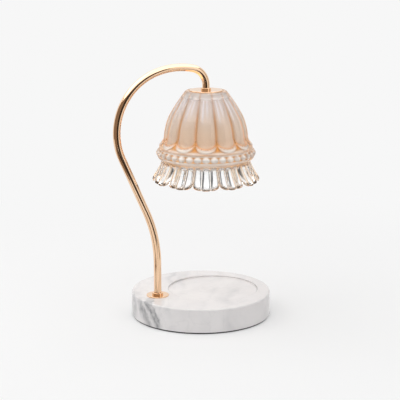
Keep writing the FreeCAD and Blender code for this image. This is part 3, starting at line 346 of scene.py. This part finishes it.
soft = vein_sheets(tree, place, (0.80, -0.58, 0.10), SOFT_STOPS, warp_size=0.045,
                   warp_scale=16.0)
patches = noise(tree, place, Scale=26.0, Detail=3.0)
broken = ramp(tree, patches.outputs["Fac"], [(0.42, 0.15), (0.66, 1.0)])
stone = mix_colours(tree, math_node(tree, "MULTIPLY", soft, broken), stone, VEIN_GREY)

threads = noise(tree, place, Scale=34.0, Detail=7.0, Roughness=0.55, Distortion=0.7)
ridge = math_node(tree, "ABSOLUTE", math_node(tree, "SUBTRACT", threads.outputs["Fac"], 0.5))
thread_mask = ramp(tree, ridge, [(0.0, 0.12), (0.012, 0.05), (0.03, 0.0)])
stone = mix_colours(tree, thread_mask, stone, THREAD_GREY)
print("soft veins:", len(SOFT_STOPS), "stops, with threads between them")

# %% Polish
shader = add(tree, "ShaderNodeBsdfPrincipled", IOR=1.52)
join(tree, stone, shader.inputs["Base Color"])
polish = add_grain(tree, shader, scale=1500.0, roughness=0.16, spread=0.06)
add_bump(tree, shader, polish, strength=0.03, distance=0.0002)
to_surface(tree, shader.outputs["BSDF"])
dress("marble_base", marble)
print("marble:", len(tree.nodes), "nodes")

# %% [markdown]
# ## Plated metal
# The tube, its two collars, the foot's disc and the cap over the glass are steel with a
# champagne-gold plating. Plating is a mirror, so its colour comes from what it reflects. A plain
# metal tone would do from afar. What makes it read as real is small: faint lengthwise polishing
# lines, and gloss that changes a little where hands have been.

# %% Champagne gold
gold, tree = new_material("champagne_gold_plating")
shader = add(tree, "ShaderNodeBsdfPrincipled", Metallic=1.0)
tone = clouds(tree, (0.93, 0.66, 0.45), (0.89, 0.60, 0.385), 35.0)
join(tree, tone, shader.inputs["Base Color"])
add_grain(tree, shader, scale=2200.0, roughness=0.09, spread=0.05)
stretch = add(tree, "ShaderNodeMapping", Scale=(2600.0, 2600.0, 60.0))
join(tree, object_place(tree), stretch.inputs["Vector"])
lines = noise(tree, stretch.outputs["Vector"], Scale=1.0, Detail=2.0)
add_bump(tree, shader, lines.outputs["Fac"], strength=0.04, distance=0.0001)
to_surface(tree, shader.outputs["BSDF"])
for name in ("arm_tube", "foot_flange", "foot_ferrule", "tip_ferrule", "shade_cap"):
    dress(name, gold)
print("gold on the arm, its collars, the foot's disc and the cap")

# %% [markdown]
# ## Hardware and wiring
# These pieces are small or hidden, but each still has its own substance: zinc-plated steel for nuts
# and screws, nylon for bushes, silicone for gaskets, steatite for the lampholder's insert. Each
# could have a tree of its own, but the substances differ only in numbers, so one helper makes all.

# %% Base and fastening
finish_pieces(["base_pad"], "closed_cell_foam", (0.060, 0.060, 0.062), (0.040, 0.040, 0.043), 90.0,
              roughness=0.85, grain_scale=1400.0, bump=0.9)
finish_pieces(["cord_grommet"], "grommet_rubber", (0.78, 0.76, 0.73), (0.70, 0.68, 0.65), 120.0,
              roughness=0.55, grain_scale=1800.0, bump=0.3)
finish_pieces(["foot_washer", "foot_lock_washer", "foot_nut", "holder_screws", "terminal_screws"],
              "zinc_plated_steel", (0.66, 0.66, 0.67), (0.54, 0.55, 0.57), 160.0,
              roughness=0.32, spread=0.2, metallic=1.0)
finish_pieces(["foot_bush", "tip_bush", "terminal_block"], "natural_nylon",
              (0.80, 0.78, 0.72), (0.74, 0.71, 0.64), 140.0, roughness=0.45)
finish_pieces(["upper_gasket", "lower_gasket"], "clear_silicone",
              (0.66, 0.55, 0.48), (0.58, 0.47, 0.41), 120.0, roughness=0.5, bump=0.2)
finish_pieces(["shade_ring"], "satin_ring_metal", (0.86, 0.62, 0.44), (0.78, 0.54, 0.37), 90.0,
              roughness=0.28, metallic=1.0)
print("base and fastening:", len(bpy.data.materials), "materials so far")

# %% Lampholder and wiring
finish_pieces(["holder_cap", "holder_barrel"], "phenolic_plastic",
              (0.72, 0.69, 0.65), (0.66, 0.63, 0.59), 110.0,
              roughness=0.38, grain_scale=1300.0, bump=0.25)
finish_pieces(["holder_insert"], "steatite", (0.80, 0.78, 0.74), (0.70, 0.68, 0.63), 150.0,
              roughness=0.6, grain_scale=1100.0, bump=0.5)
for name in ("contact_live", "contact_neutral"):
    finish_pieces([name], "phosphor_bronze_" + name, (0.72, 0.43, 0.26), (0.58, 0.33, 0.20), 200.0,
                  roughness=0.33, metallic=1.0)
for name in ("terminal_sleeve_live", "terminal_sleeve_neutral"):
    finish_pieces([name], "brass_" + name, (0.80, 0.62, 0.32), (0.66, 0.49, 0.24), 180.0,
                  roughness=0.35, metallic=1.0)
finish_pieces(["lead_live"], "lead_brown", (0.16, 0.075, 0.04), (0.12, 0.055, 0.03), 150.0,
              roughness=0.5)
finish_pieces(["lead_neutral"], "lead_blue", (0.05, 0.15, 0.42), (0.035, 0.11, 0.33), 150.0,
              roughness=0.5)
print("lampholder and wiring:", len(bpy.data.materials), "materials so far")

# %% [markdown]
# ## Reflector bulb
# A warming bulb is a halogen capsule in a mirrored glass bowl with a clear front lens. The mirror
# coat is thin aluminium on glass, so it is very smooth, the lens is slightly mottled pressed glass,
# and the base is white cast ceramic. Real glass casts its light by refraction, which takes very
# many samples, so rays that come straight from a lamp pass through a plain tint instead.

# %% Bulb finishes
finish_pieces(["bulb_base"], "cast_ceramic", (0.82, 0.81, 0.78), (0.75, 0.74, 0.70), 130.0,
              roughness=0.42, grain_scale=1200.0, bump=0.3)
finish_pieces(["bulb_pins"], "nickel_pins", (0.70, 0.69, 0.66), (0.60, 0.59, 0.56), 220.0,
              roughness=0.28, metallic=1.0)
finish_pieces(["bulb_reflector"], "mirror_coat", (0.90, 0.90, 0.89), (0.84, 0.84, 0.84), 80.0,
              roughness=0.10, spread=0.05, metallic=1.0, bump=0.04)


def clear_glass(name, colour, roughness, shadow=(0.9, 0.9, 0.9)):
    """Clear glass that lets lamps through. The material and its Principled shader."""
    material, tree = new_material(name)
    shader = add(tree, "ShaderNodeBsdfPrincipled", Base_Color=(*colour, 1), IOR=1.5,
                 Transmission_Weight=1.0)
    height = add_grain(tree, shader, scale=700.0, roughness=roughness, spread=0.03)
    add_bump(tree, shader, height, strength=0.06, distance=0.0004)
    through = add(tree, "ShaderNodeBsdfTransparent", Color=(*shadow, 1))
    either = add(tree, "ShaderNodeMixShader")
    join(tree, add(tree, "ShaderNodeLightPath").outputs["Is Shadow Ray"], either.inputs[0])
    join(tree, shader.outputs["BSDF"], either.inputs[1])
    join(tree, through.outputs["BSDF"], either.inputs[2])
    to_surface(tree, either.outputs["Shader"])
    return material, shader


bulb_glass, _ = clear_glass("bulb_glass", (0.97, 0.97, 0.95), roughness=0.12)
for name in ("bulb_lens", "bulb_capsule"):
    dress(name, bulb_glass)
print("bulb: mirror, lens, capsule and ceramic")

# %% [markdown]
# ## Glass shade
# The shade is pressed glass: twelve domed petals over a collar of 36 beads, and a clear fluted
# skirt that ends in twelve round lobes. Every one of the twelve sectors is the same, so one sector
# is enough. A closed outline of the wall is spun through 30 degrees, its outer side is pressed into
# shape, and the finished sector is copied round the lamp's axis. Cutting the petals out of a whole
# dome would take far more work.

# %% Outline of the wall
low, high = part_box("glass_shade")
AXIS_X = (low.x + high.x) / 2
OUTER = [  # radius and height in millimetres, from the neck's bore down the outside
    (15.3, 243.14), (17.9, 243.14), (18.7, 244.3), (20.6, 244.9), (22.2, 244.3), (23.4, 242.4),
    (24.8, 240.6), (26.2, 238.7), (27.7, 236.5), (29.2, 234.4), (32.1, 230.1), (34.8, 225.8),
    (37.3, 221.5), (39.6, 217.2), (41.3, 212.9), (42.6, 208.6), (43.7, 204.3), (44.4, 200.0),
    (44.8, 195.7), (45.1, 193.5), (46.3, 191.3), (47.8, 189.2), (48.9, 187.0), (49.7, 184.8),
    (49.8, 183.0), (49.8, 178.2), (50.4, 177.2), (51.6, 176.0), (51.9, 174.6), (51.0, 173.0),
    (48.9, 171.6), (47.8, 169.6), (48.0, 167.4), (48.8, 165.2), (49.8, 163.1), (51.1, 160.9),
    (52.2, 158.7), (53.5, 156.5), (55.0, 154.3), (56.5, 152.1), (57.4, 149.9), (57.3, 148.4),
    (56.4, 147.7)]
INNER = [  # and back up the inside
    (55.2, 147.9), (53.6, 149.3), (52.2, 151.5), (50.2, 154.3), (48.6, 156.8), (46.5, 161.0),
    (45.0, 165.0), (43.9, 169.0), (43.7, 173.0), (43.7, 178.0), (43.6, 184.0), (42.2, 187.2),
    (39.9, 190.0), (38.6, 194.0), (38.5, 200.0), (38.2, 204.0), (37.4, 208.5), (36.2, 213.0),
    (34.6, 217.4), (32.6, 221.6), (30.2, 225.8), (27.6, 230.0), (24.8, 234.0), (22.6, 237.0),
    (20.9, 239.2), (19.6, 239.64), (15.3, 239.64)]


def even_points(rows, step):
    """Points along a broken line at one spacing, its corners rounded by averaging neighbours."""
    line = np.array(rows)
    run = np.concatenate([[0], np.cumsum(np.hypot(*np.diff(line, axis=0).T))])
    along = np.linspace(0, run[-1], max(2, round(run[-1] / step)) + 1)
    points = np.column_stack([np.interp(along, run, line[:, axis]) for axis in (0, 1)])
    for _ in range(2):
        points[1:-1] = (points[:-2] + 2 * points[1:-1] + points[2:]) / 4
    return points


outer_line, inner_line = even_points(OUTER, 0.95), even_points(INNER, 2.3)
outline = np.vstack([outer_line, inner_line])
print("outline:", len(outer_line), "points outside and", len(inner_line), "inside")

# %% Spin one sector
SECTORS, SPIN_STEPS = 12, 36
SECTOR = 360 / SECTORS                          # degrees

deselect()
bpy.ops.mesh.primitive_circle_add(vertices=len(outline), radius=0.05, location=(0, 0, 0))
shade = bpy.context.object
shade.name = "pressed_glass_shade"
placed = np.column_stack([AXIS_X + outline[:, 0] * MM, np.zeros(len(outline)), outline[:, 1] * MM])
shade.data.vertices.foreach_set("co", placed.ravel())
bpy.ops.object.mode_set(mode="EDIT")
bpy.ops.mesh.select_all(action="SELECT")
bpy.ops.mesh.spin(steps=SPIN_STEPS, angle=radians(SECTOR), center=(AXIS_X, 0, 0), axis=(0, 0, 1))
bpy.ops.object.mode_set(mode="OBJECT")
print("sector:", len(shade.data.vertices), "vertices,", len(shade.data.polygons), "faces")

# %% [markdown]
# ## Pressing the petals, beads and flutes
# The mould's relief could be sculpted, but a mould is regular, so here it is a set of rules on two
# numbers: the height, and the angle from the middle of the petal. A petal falls away to a groove at
# each side and ends in a round lower edge. Each bead is half an egg. The flutes are shallow arches,
# and each lobe of the skirt is longest in its middle.

# %% Measure the sector
def ease(value, start, end):
    """0 at start, 1 at end, smooth between."""
    t = np.clip((value - start) / (end - start), 0, 1)
    return t * t * (3 - 2 * t)


def bell(distance, width):
    """1 on a line and less on both sides of it."""
    return np.exp(-(distance / width) ** 2)


# The rules of the relief read and give millimetres and degrees.
points = np.empty(len(shade.data.vertices) * 3)
shade.data.vertices.foreach_get("co", points)
points = points.reshape(-1, 3)
radius = np.hypot(points[:, 0] - AXIS_X, points[:, 1]) / MM
height = points[:, 2] / MM
turn = np.degrees(np.arctan2(points[:, 1], points[:, 0] - AXIS_X))
step = SECTOR / SPIN_STEPS
turn = np.round((turn - turn.min()) / step) * step
angle = turn - SECTOR / 2                       # from the petal's middle, -15 to 15 degrees
spread = np.abs(angle) / (SECTOR / 2)           # 0 in the petal's middle, 1 in the groove
arc = np.sqrt(np.clip(1 - spread ** 2, 0, 1))
from_groove = radians(1) * radius * (SECTOR / 2 - np.abs(angle))
nearest = np.array([np.argmin((outline[:, 0] - r) ** 2 + (outline[:, 1] - z) ** 2)
                    for r, z in zip(radius, height)])
is_outer = nearest < len(outer_line)
print("outer side:", int(is_outer.sum()), "of", len(is_outer), "vertices")

# %% Petals
PETAL_FOOT, LEDGE, RIB = 185.6, 184.6, 184.4    # heights at the petals' lower edge
PETAL_ROUND = 8.0                               # how far its lower edge rises to the groove

drop = np.interp(height, [185, 190, 200, 222, 238, 241], [1.5, 1.5, 3.8, 3.4, 1.0, 0.0])
petal = -drop * spread ** 2.2 - 0.5 * bell(from_groove, 0.8) * ease(height, 241, 236)
ground = np.interp(height, [184.6, 186.0, 188.0, 190.5, 194.0], [0.0, -0.8, -1.2, -2.0, -3.4])
petal_edge = PETAL_FOOT + PETAL_ROUND * (1 - arc)
on_petal = ease(height, petal_edge - 0.5, petal_edge + 0.5)
lip = 0.9 * bell(height - petal_edge - 1.0, 1.2)
relief = np.where(height > LEDGE, on_petal * (petal + lip) + (1 - on_petal) * ground, 0.0)
relief += 0.5 * bell(height - RIB, 0.6)
print("petals: relief from", round(relief.min(), 2), "to", round(relief.max(), 2), "mm")

# %% Beads and flutes
BEADS, SKIRT_TOP = 178.9, 171.0                 # heights of the beads' middle and the skirt's top
BEAD_TALL, BEAD_WIDE, BEAD_HIGH = 2.8, 4.2, 3.2  # reach up and across, and depth of a bead
BEAD_RING = 49.8                                # radius of the ring that they stand on
FLUTE_DEEP = 2.2
PITCH = SECTOR / 3                              # degrees from one bead or flute to the next

bead_angle = (angle + PITCH / 2) % PITCH - PITCH / 2
bead_across = radians(1) * bead_angle * BEAD_RING / BEAD_WIDE
bead_reach = ((height - BEADS) / BEAD_TALL) ** 2 + bead_across ** 2
relief += BEAD_HIGH * np.clip(1 - bead_reach, 0, 1) ** 0.55
relief -= FLUTE_DEEP * ease(height, SKIRT_TOP, 166.5) * (bead_angle / (PITCH / 2)) ** 2
relief -= 0.8 * bell(from_groove, 1.0) * ease(height, 170.8, 166.0)
radius = radius + np.where(is_outer, relief, 0.0)
print("pressed: relief from", round(relief.min(), 2), "to", round(relief.max(), 2), "mm")

# %% Lobes of the skirt
WAIST, FOOT = 169.6, 147.7                      # heights of the skirt's waist and lower end
SHORTER = 0.25                                  # share that a lobe loses at its sides
FIRST_PETAL = 4.2                               # degrees that the first petal is turned by

length = 1 - SHORTER * (1 - arc)
pulled = np.where(height < WAIST, WAIST - (WAIST - height) * length, height)
skirt_r, skirt_z = outer_line[::-1][outer_line[::-1, 1] < SKIRT_TOP].T
shift = np.interp(pulled, skirt_z, skirt_r) - np.interp(height, skirt_z, skirt_r)
radius = np.where(height < WAIST, radius + shift, radius)

azimuth = np.radians(angle + FIRST_PETAL)
pressed = np.column_stack([AXIS_X + radius * MM * np.cos(azimuth), radius * MM * np.sin(azimuth),
                           pulled * MM])
shade.data.vertices.foreach_set("co", pressed.ravel())
print("lobes: pulled up by up to", round((pulled - height).max(), 2), "mm")

# %% [markdown]
# ## Where the colour gathers
# Pressed glass looks deepest where its wall is thick or folded: in the grooves and along the
# petals' edges. An image could hold that, but the rules that shaped the relief know these places
# already, so each vertex gets its share of amber from them. The same share also holds painted
# shade: dark amber lines between the beads, and a band of amber under the petals' lips where the
# lips would shade the collar. In the same way the inner vertices get painted highlights, pale
# streaks high on each petal towards the neck, and the zone that says which glass or coat their
# faces have.

# %% Amber, sheen and zones
def store(name, kind, values):
    """Keep one value per vertex, under a name that materials can read."""
    shade.data.attributes.new(name, kind, "POINT").data.foreach_set("value", values)


groove_width = np.interp(height, [188, 192, 198, 210, 238], [3.4, 2.6, 1.7, 1.5, 1.1])
groove = bell(from_groove, groove_width) * ease(height, 187, 190)
groove = 0.85 * groove * (1 - 0.6 * ease(height, 216, 236))
crescent = 0.7 * bell(height - petal_edge - 4.4, 0.9) * (height > 184) * (height < 199)
between = 0.8 * (1 - on_petal) * ease(height, 185.2, 187.0)
# painted shade: dark amber lines between the beads, where clear beads would show dark surroundings
painted_bead_gaps = 1.2 * (np.abs(height - BEADS) < 3.2) * np.clip(bead_reach - 0.7, 0, 1)
band = np.interp(height, [171, 173, 176, 180, 182.5, 185, 186],
                 [0.0, 0.22, 0.05, 0.38, 0.12, 0.22, 0.0]) * np.clip(bead_reach - 0.3, 0, 1)
# painted shade: amber along the rib under the petals' lips, where the lips would shade the collar
painted_lip_shade = 0.6 * bell(height - RIB, 0.8) * (1 - spread) ** 0.5
seams = 0.45 * bell(from_groove, 1.3) + 0.22 * np.abs(bead_angle / (PITCH / 2)) ** 6
rim = 0.60 * bell(height - FOOT, 1.3)
amber_and_painted_shade = groove + crescent + between + painted_bead_gaps + band + painted_lip_shade + (seams + rim) * (height < SKIRT_TOP)
store("amber_and_painted_shade", "FLOAT", np.where(is_outer, np.clip(amber_and_painted_shade, 0, 1), 0.0))

# painted highlights: pale streaks high on each petal, where a window's reflection would fall
painted_streak = bell(angle + 5.5, 1.7) * ease(height, 210, 226)
painted_streak += 0.8 * bell(angle - 2.0, 2.0) * ease(height, 216, 230)
store("painted_highlight", "FLOAT", np.where(is_outer, 0.0, np.clip(painted_streak, 0, 1)))

SKIRT, BAND, DOME, COAT = range(4)
zone = np.select([height < 171.2, height < petal_edge + 3.2, height < 238.5],
                 [SKIRT, BAND, DOME], BAND)
zone = np.where((~is_outer) & (height > 185.8) & (height < 240.5), COAT, zone)
store("zone", "INT", zone)
print("amber:", int((amber_and_painted_shade[is_outer] > 0.5).sum()), "vertices at more than half")

# %% [markdown]
# ## The whole shade
# The mould repeats its sector twelve times round the axis. An Array modifier round an empty could
# do the same. Plain copies, turned by their angle and joined, leave one finished mesh whose
# touching edges are merged, so the glass is one closed wall.

# %% Copy the sector round the axis
sectors = [shade]
x, y = pressed[:, 0] - AXIS_X, pressed[:, 1]
for number in range(1, SECTORS):
    deselect()
    shade.select_set(True)
    bpy.context.view_layer.objects.active = shade
    bpy.ops.object.duplicate()
    sector = bpy.context.object
    turned = np.radians(number * SECTOR)
    ring = np.column_stack([AXIS_X + x * np.cos(turned) - y * np.sin(turned),
                            x * np.sin(turned) + y * np.cos(turned), pressed[:, 2]])
    sector.data.vertices.foreach_set("co", ring.ravel())
    sectors.append(sector)
deselect()
for sector in sectors:
    sector.select_set(True)
bpy.context.view_layer.objects.active = shade
bpy.ops.object.join()
bpy.ops.object.mode_set(mode="EDIT")
bpy.ops.mesh.select_all(action="SELECT")
bpy.ops.mesh.remove_doubles(threshold=0.00002)
bpy.ops.mesh.normals_make_consistent(inside=False)
bpy.ops.object.mode_set(mode="OBJECT")
bpy.ops.object.shade_smooth()
print("shade:", len(shade.data.vertices), "vertices,", 2 * len(shade.data.polygons), "triangles")

# %% [markdown]
# ## Glass and its inner coat
# The body is clear glass with a trace of amber. Inside the dome is a pearly coat, baked on, that
# hides the bulb and gives the dome its milky beige. The coat ends below the collar, so the skirt
# stays clear. A second thin mesh could be the coat, but it would rub against the glass, so the coat
# is the same mesh: the faces of the inner wall get its material, and the rest stay glass.

# %% Tinted glass
def tinted_glass(name, clear, deep, turned_away, transmission, roughness, start, gain):
    """Pressed glass, clear to deep by its amber and painted shade, with another tone where the wall
    turns away.
    """
    material, shader = clear_glass(name, (1.0, 1.0, 1.0), roughness, shadow=(0.95, 0.90, 0.84))
    shader.inputs["Transmission Weight"].default_value = transmission
    tree = material.node_tree
    # the attribute holds the glass's own amber plus painted shade between the beads and under the
    # lips
    strength = add(tree, "ShaderNodeAttribute", attribute_name="amber_and_painted_shade").outputs["Fac"]
    facing = add(tree, "ShaderNodeLayerWeight", Blend=0.5).outputs["Facing"]
    grazing = math_node(tree, "MULTIPLY_ADD", facing, gain, -gain * start, clamp=True)
    middle = tuple((a + b) / 2 for a, b in zip(clear, deep))
    colour = ramp(tree, strength, [(0.0, clear), (0.45, middle), (1.0, deep)])
    colour = mix_colours(tree, math_node(tree, "MULTIPLY", grazing, 0.85), colour, turned_away)
    join(tree, colour, shader.inputs["Base Color"])
    join(tree, colour, shader.inputs["Specular Tint"])
    return material


skirt_glass = tinted_glass(
    "clear_skirt_glass", (1.0, 1.0, 1.0), (0.92, 0.56, 0.26), (0.98, 0.50, 0.15),
    transmission=0.97, roughness=0.02, start=0.30, gain=4.0)
band_glass = tinted_glass(
    "amber_band_glass", (1.0, 0.985, 0.96), (0.88, 0.40, 0.10), (0.92, 0.48, 0.18),
    transmission=0.66, roughness=0.04, start=0.50, gain=4.0)
dome_glass = tinted_glass(
    "amber_dome_glass", (1.0, 0.98, 0.97), (0.98, 0.50, 0.18), (1.0, 0.46, 0.13),
    transmission=0.96, roughness=0.04, start=0.52, gain=9.0)
print("glass:", skirt_glass.name, band_glass.name, dome_glass.name)

# %% Pearly coat
COAT_LOW, COAT_HIGH = 0.186, 0.240              # heights that the coat's tones run between
PEARL = [
    (0.0, (0.96, 0.70, 0.49)), (0.35, (0.94, 0.74, 0.56)), (0.7, (0.80, 0.68, 0.60)),
    (0.95, (0.69, 0.61, 0.60)), (0.99, (0.62, 0.42, 0.34))]

pearl, shader = clear_glass("pearl_coat", (1.0, 1.0, 1.0), roughness=0.42,
                            shadow=(0.46, 0.38, 0.32))
shader.inputs["Transmission Weight"].default_value = 0.28
tree = pearl.node_tree
place = object_place(tree)
split = add(tree, "ShaderNodeSeparateXYZ")
join(tree, place, split.inputs["Vector"])
level = add(tree, "ShaderNodeMapRange", From_Min=COAT_LOW, From_Max=COAT_HIGH)
join(tree, split.outputs["Z"], level.inputs["Value"])
tone = ramp(tree, level.outputs["Result"], PEARL)
blotch = noise(tree, place, Scale=55.0, Detail=3.0).outputs["Fac"]
tone = mix_colours(tree, math_node(tree, "MULTIPLY", blotch, 0.25), tone, (0.92, 0.82, 0.74))
# painted highlights: the stored streaks turn the coat's tone towards pale lilac-white
painted_streaks = add(tree, "ShaderNodeAttribute", attribute_name="painted_highlight").outputs["Fac"]
tone = mix_colours(tree, math_node(tree, "MULTIPLY", painted_streaks, 0.95), tone, (0.96, 0.94, 1.0))
join(tree, tone, shader.inputs["Base Color"])
print("coat:", len(PEARL), "tones from the collar up to the neck")

# %% Dress the shade
shade.data.materials.clear()
for material in (skirt_glass, band_glass, dome_glass, pearl):
    shade.data.materials.append(material)
zone_of = np.empty(len(shade.data.vertices), dtype=int)
shade.data.attributes["zone"].data.foreach_get("value", zone_of)
for face in shade.data.polygons:
    face.material_index = int(min(zone_of[vertex] for vertex in face.vertices))
shade.data.attributes.remove(shade.data.attributes["zone"])
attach(shade, "shade")
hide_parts("glass_shade")
print("coated faces:", sum(face.material_index == COAT for face in shade.data.polygons))

# %% [markdown]
# ## Floor and background
# The lamp stands on a pale paper sweep, as in a product studio. A curved sheet would show its bend
# as a soft line. Here a flat floor takes the lamp's soft shadow near the object and fades, further
# out, to the same plain white that the background has, so no line shows.

# %% Floor
PAPER_WHITE = 0.93                              # how bright the plain background looks
FLOOR_RADIUS, FLOOR_DROP = 3.0, 0.0003          # the drop keeps it off the lamp's pad
KEPT_LIGHT = 0.70                               # share of real light on the paper near the lamp


def seen_directly(tree):
    """1 for rays from the camera, also through glass and off metal, and 0 for all others."""
    rays = add(tree, "ShaderNodeLightPath").outputs
    first = math_node(tree, "ADD", rays["Is Camera Ray"], rays["Is Glossy Ray"])
    return math_node(tree, "ADD", first, rays["Is Transmission Ray"], clamp=True)


deselect()
bpy.ops.mesh.primitive_circle_add(vertices=96, radius=FLOOR_RADIUS, fill_type="NGON",
                                  location=(0, 0, -FLOOR_DROP))
floor = bpy.context.object
floor.name = "studio_floor"
paper, tree = new_material("studio_paper")
lit = add(tree, "ShaderNodeBsdfDiffuse", Color=(0.88, 0.88, 0.88, 1))
glow = add(tree, "ShaderNodeEmission", Color=(1, 1, 1, 1), Strength=PAPER_WHITE)
near_lamp = fade_from(tree, object_place(tree), (0.0, 0.0, 0.0), near=0.16, far=0.60)
share = math_node(tree, "MULTIPLY_ADD", near_lamp, -KEPT_LIGHT, 1.0)
either = add(tree, "ShaderNodeMixShader")
join(tree, math_node(tree, "MULTIPLY", share, seen_directly(tree)), either.inputs[0])
join(tree, lit.outputs["BSDF"], either.inputs[1])
join(tree, glow.outputs["Emission"], either.inputs[2])
to_surface(tree, either.outputs["Shader"])
floor.data.materials.append(paper)
print("floor:", len(tree.nodes), "nodes in its paper")

# %% Background
FILL = 0.29                                     # the background's light on matt surfaces

world = bpy.data.worlds.new("studio_world")
world.use_nodes = True
bpy.context.scene.world = world
tree = world.node_tree
tree.nodes.clear()
level = math_node(tree, "MULTIPLY_ADD", seen_directly(tree), PAPER_WHITE - FILL, FILL)
sky = add(tree, "ShaderNodeBackground", Color=(1, 1, 1, 1))
join(tree, level, sky.inputs["Strength"])
join(tree, sky.outputs["Background"], add(tree, "ShaderNodeOutputWorld").inputs["Surface"])
bpy.context.scene.view_settings.view_transform = "Standard"
print("background:", PAPER_WHITE, "to the camera and", FILL, "as light")

# %% [markdown]
# ## Lamps
# Product light comes from large soft boxes, whose wide faces make soft shadows and broad, calm
# highlights. Small lamps would be quicker to aim, but they leave hard spots on metal. A very wide
# one overhead gives most of the light, one behind at the left throws the faint shadow to the right,
# and a weak one at the front right opens it.

# %% Lamps
def soft_lamp(name, place, aim, size, power):
    """A square area lamp at a place, with its size in metres and its power in watts."""
    deselect()
    facing = (Vector(aim) - Vector(place)).to_track_quat("-Z", "Y").to_euler()
    bpy.ops.object.light_add(type="AREA", location=place, rotation=facing)
    lamp = bpy.context.object
    lamp.name = name
    lamp.data.size = size
    lamp.data.energy = power


soft_lamp("overhead_lamp", (-0.02, -0.05, 1.45), (0, 0, 0.1), size=3.0, power=29.5)
soft_lamp("left_lamp", (-0.83, 0.40, 1.35), (0, 0, 0.15), size=1.6, power=7.0)
soft_lamp("key_lamp", (0.7, -1.4, 0.9), (0, 0, 0.15), size=1.2, power=1.0)
print("lamps: three soft boxes")

# %% [markdown]
# ## Cards
# In an all-white studio polished metal looks flat, and glass shows its shape only against something
# darker. Photographers set dark cards just out of view, and so does this scene. Darker paint on the
# object would be quicker, but wrong from every other side. The wide cards here are seen only by
# metal, the narrow ones round the lamp only through glass, and none of them by the camera.

# %% Card tones
PALE = (0.42, 0.36, 0.28)                       # what metal sees of a card in other metal


def board(name, colour):
    """A material with one plain tone of its own, so that no lamp changes it."""
    material, tree = new_material(name)
    tone = add(tree, "ShaderNodeEmission", Strength=1.0)
    bounces = add(tree, "ShaderNodeLightPath").outputs["Glossy Depth"]
    second = math_node(tree, "GREATER_THAN", bounces, 1.5)
    join(tree, mix_colours(tree, second, colour, PALE), tone.inputs["Color"])
    to_surface(tree, tone.outputs["Emission"])
    return material


DARK = board("dark_board", (0.045, 0.036, 0.030))
BROWN = board("brown_board", (0.26, 0.195, 0.145))
SLATE = board("slate_board", (0.034, 0.038, 0.046))
print("card tones:", DARK.name, BROWN.name, SLATE.name)

# %% Place the cards
GLASS_DISTANCE, GLASS_HEIGHT = 0.45, 0.55
CARD_LIFT = 0.0006                              # a lying card's height over the floor
GLASS_CARDS = [  # azimuth in degrees and width
    (26, 0.12), (45, 0.072), (84, 0.035), (102, 0.12), (150, 0.11), (210, 0.11), (280, 0.11),
    (340, 0.11)]


def dark_card(name, tone, azimuth, distance, across, length, lying=False, for_glass=False):
    """A card that lies on the floor or stands on it, facing the lamp from an azimuth."""
    outward = Vector((cos(radians(azimuth)), sin(radians(azimuth)), 0))
    place = outward * distance + Vector((0, 0, CARD_LIFT if lying else length / 2))
    upright = (-outward).to_track_quat("Z", "Y").to_euler()
    deselect()
    bpy.ops.mesh.primitive_plane_add(size=1, location=place,
                                     rotation=(0, 0, radians(azimuth - 90)) if lying else upright)
    card = bpy.context.object
    card.name = name
    card.scale = (across, length, 1)
    card.visible_camera = card.visible_diffuse = card.visible_shadow = False
    card.visible_transmission, card.visible_glossy = for_glass, not for_glass
    card.data.materials.append(tone)


dark_card("front_sheet", DARK, 250, 0.367, 0.64, 0.234, lying=True)
dark_card("left_sheet", BROWN, 190, 0.39, 0.34, 0.30, lying=True)
dark_card("left_strip", BROWN, 190, 0.205, 0.05, 0.09, lying=True)
dark_card("right_sheet", BROWN, 322, 0.36, 0.12, 0.28, lying=True)
dark_card("front_wall", DARK, 262, 0.50, 0.50, 0.50)
dark_card("left_wall", BROWN, 203, 0.50, 0.64, 0.55)
dark_card("left_card", BROWN, 160, 0.80, 0.30, 0.80)
dark_card("right_card", BROWN, 336, 0.80, 0.24, 0.80)
for number, (azimuth, across) in enumerate(GLASS_CARDS):
    dark_card("glass_card_%d" % number, SLATE, azimuth, GLASS_DISTANCE, across, GLASS_HEIGHT,
              for_glass=True)
print("cards: 8 for metal and", len(GLASS_CARDS), "for glass")

# %% [markdown]
# ## Finish

# %% End
print("scene ready")
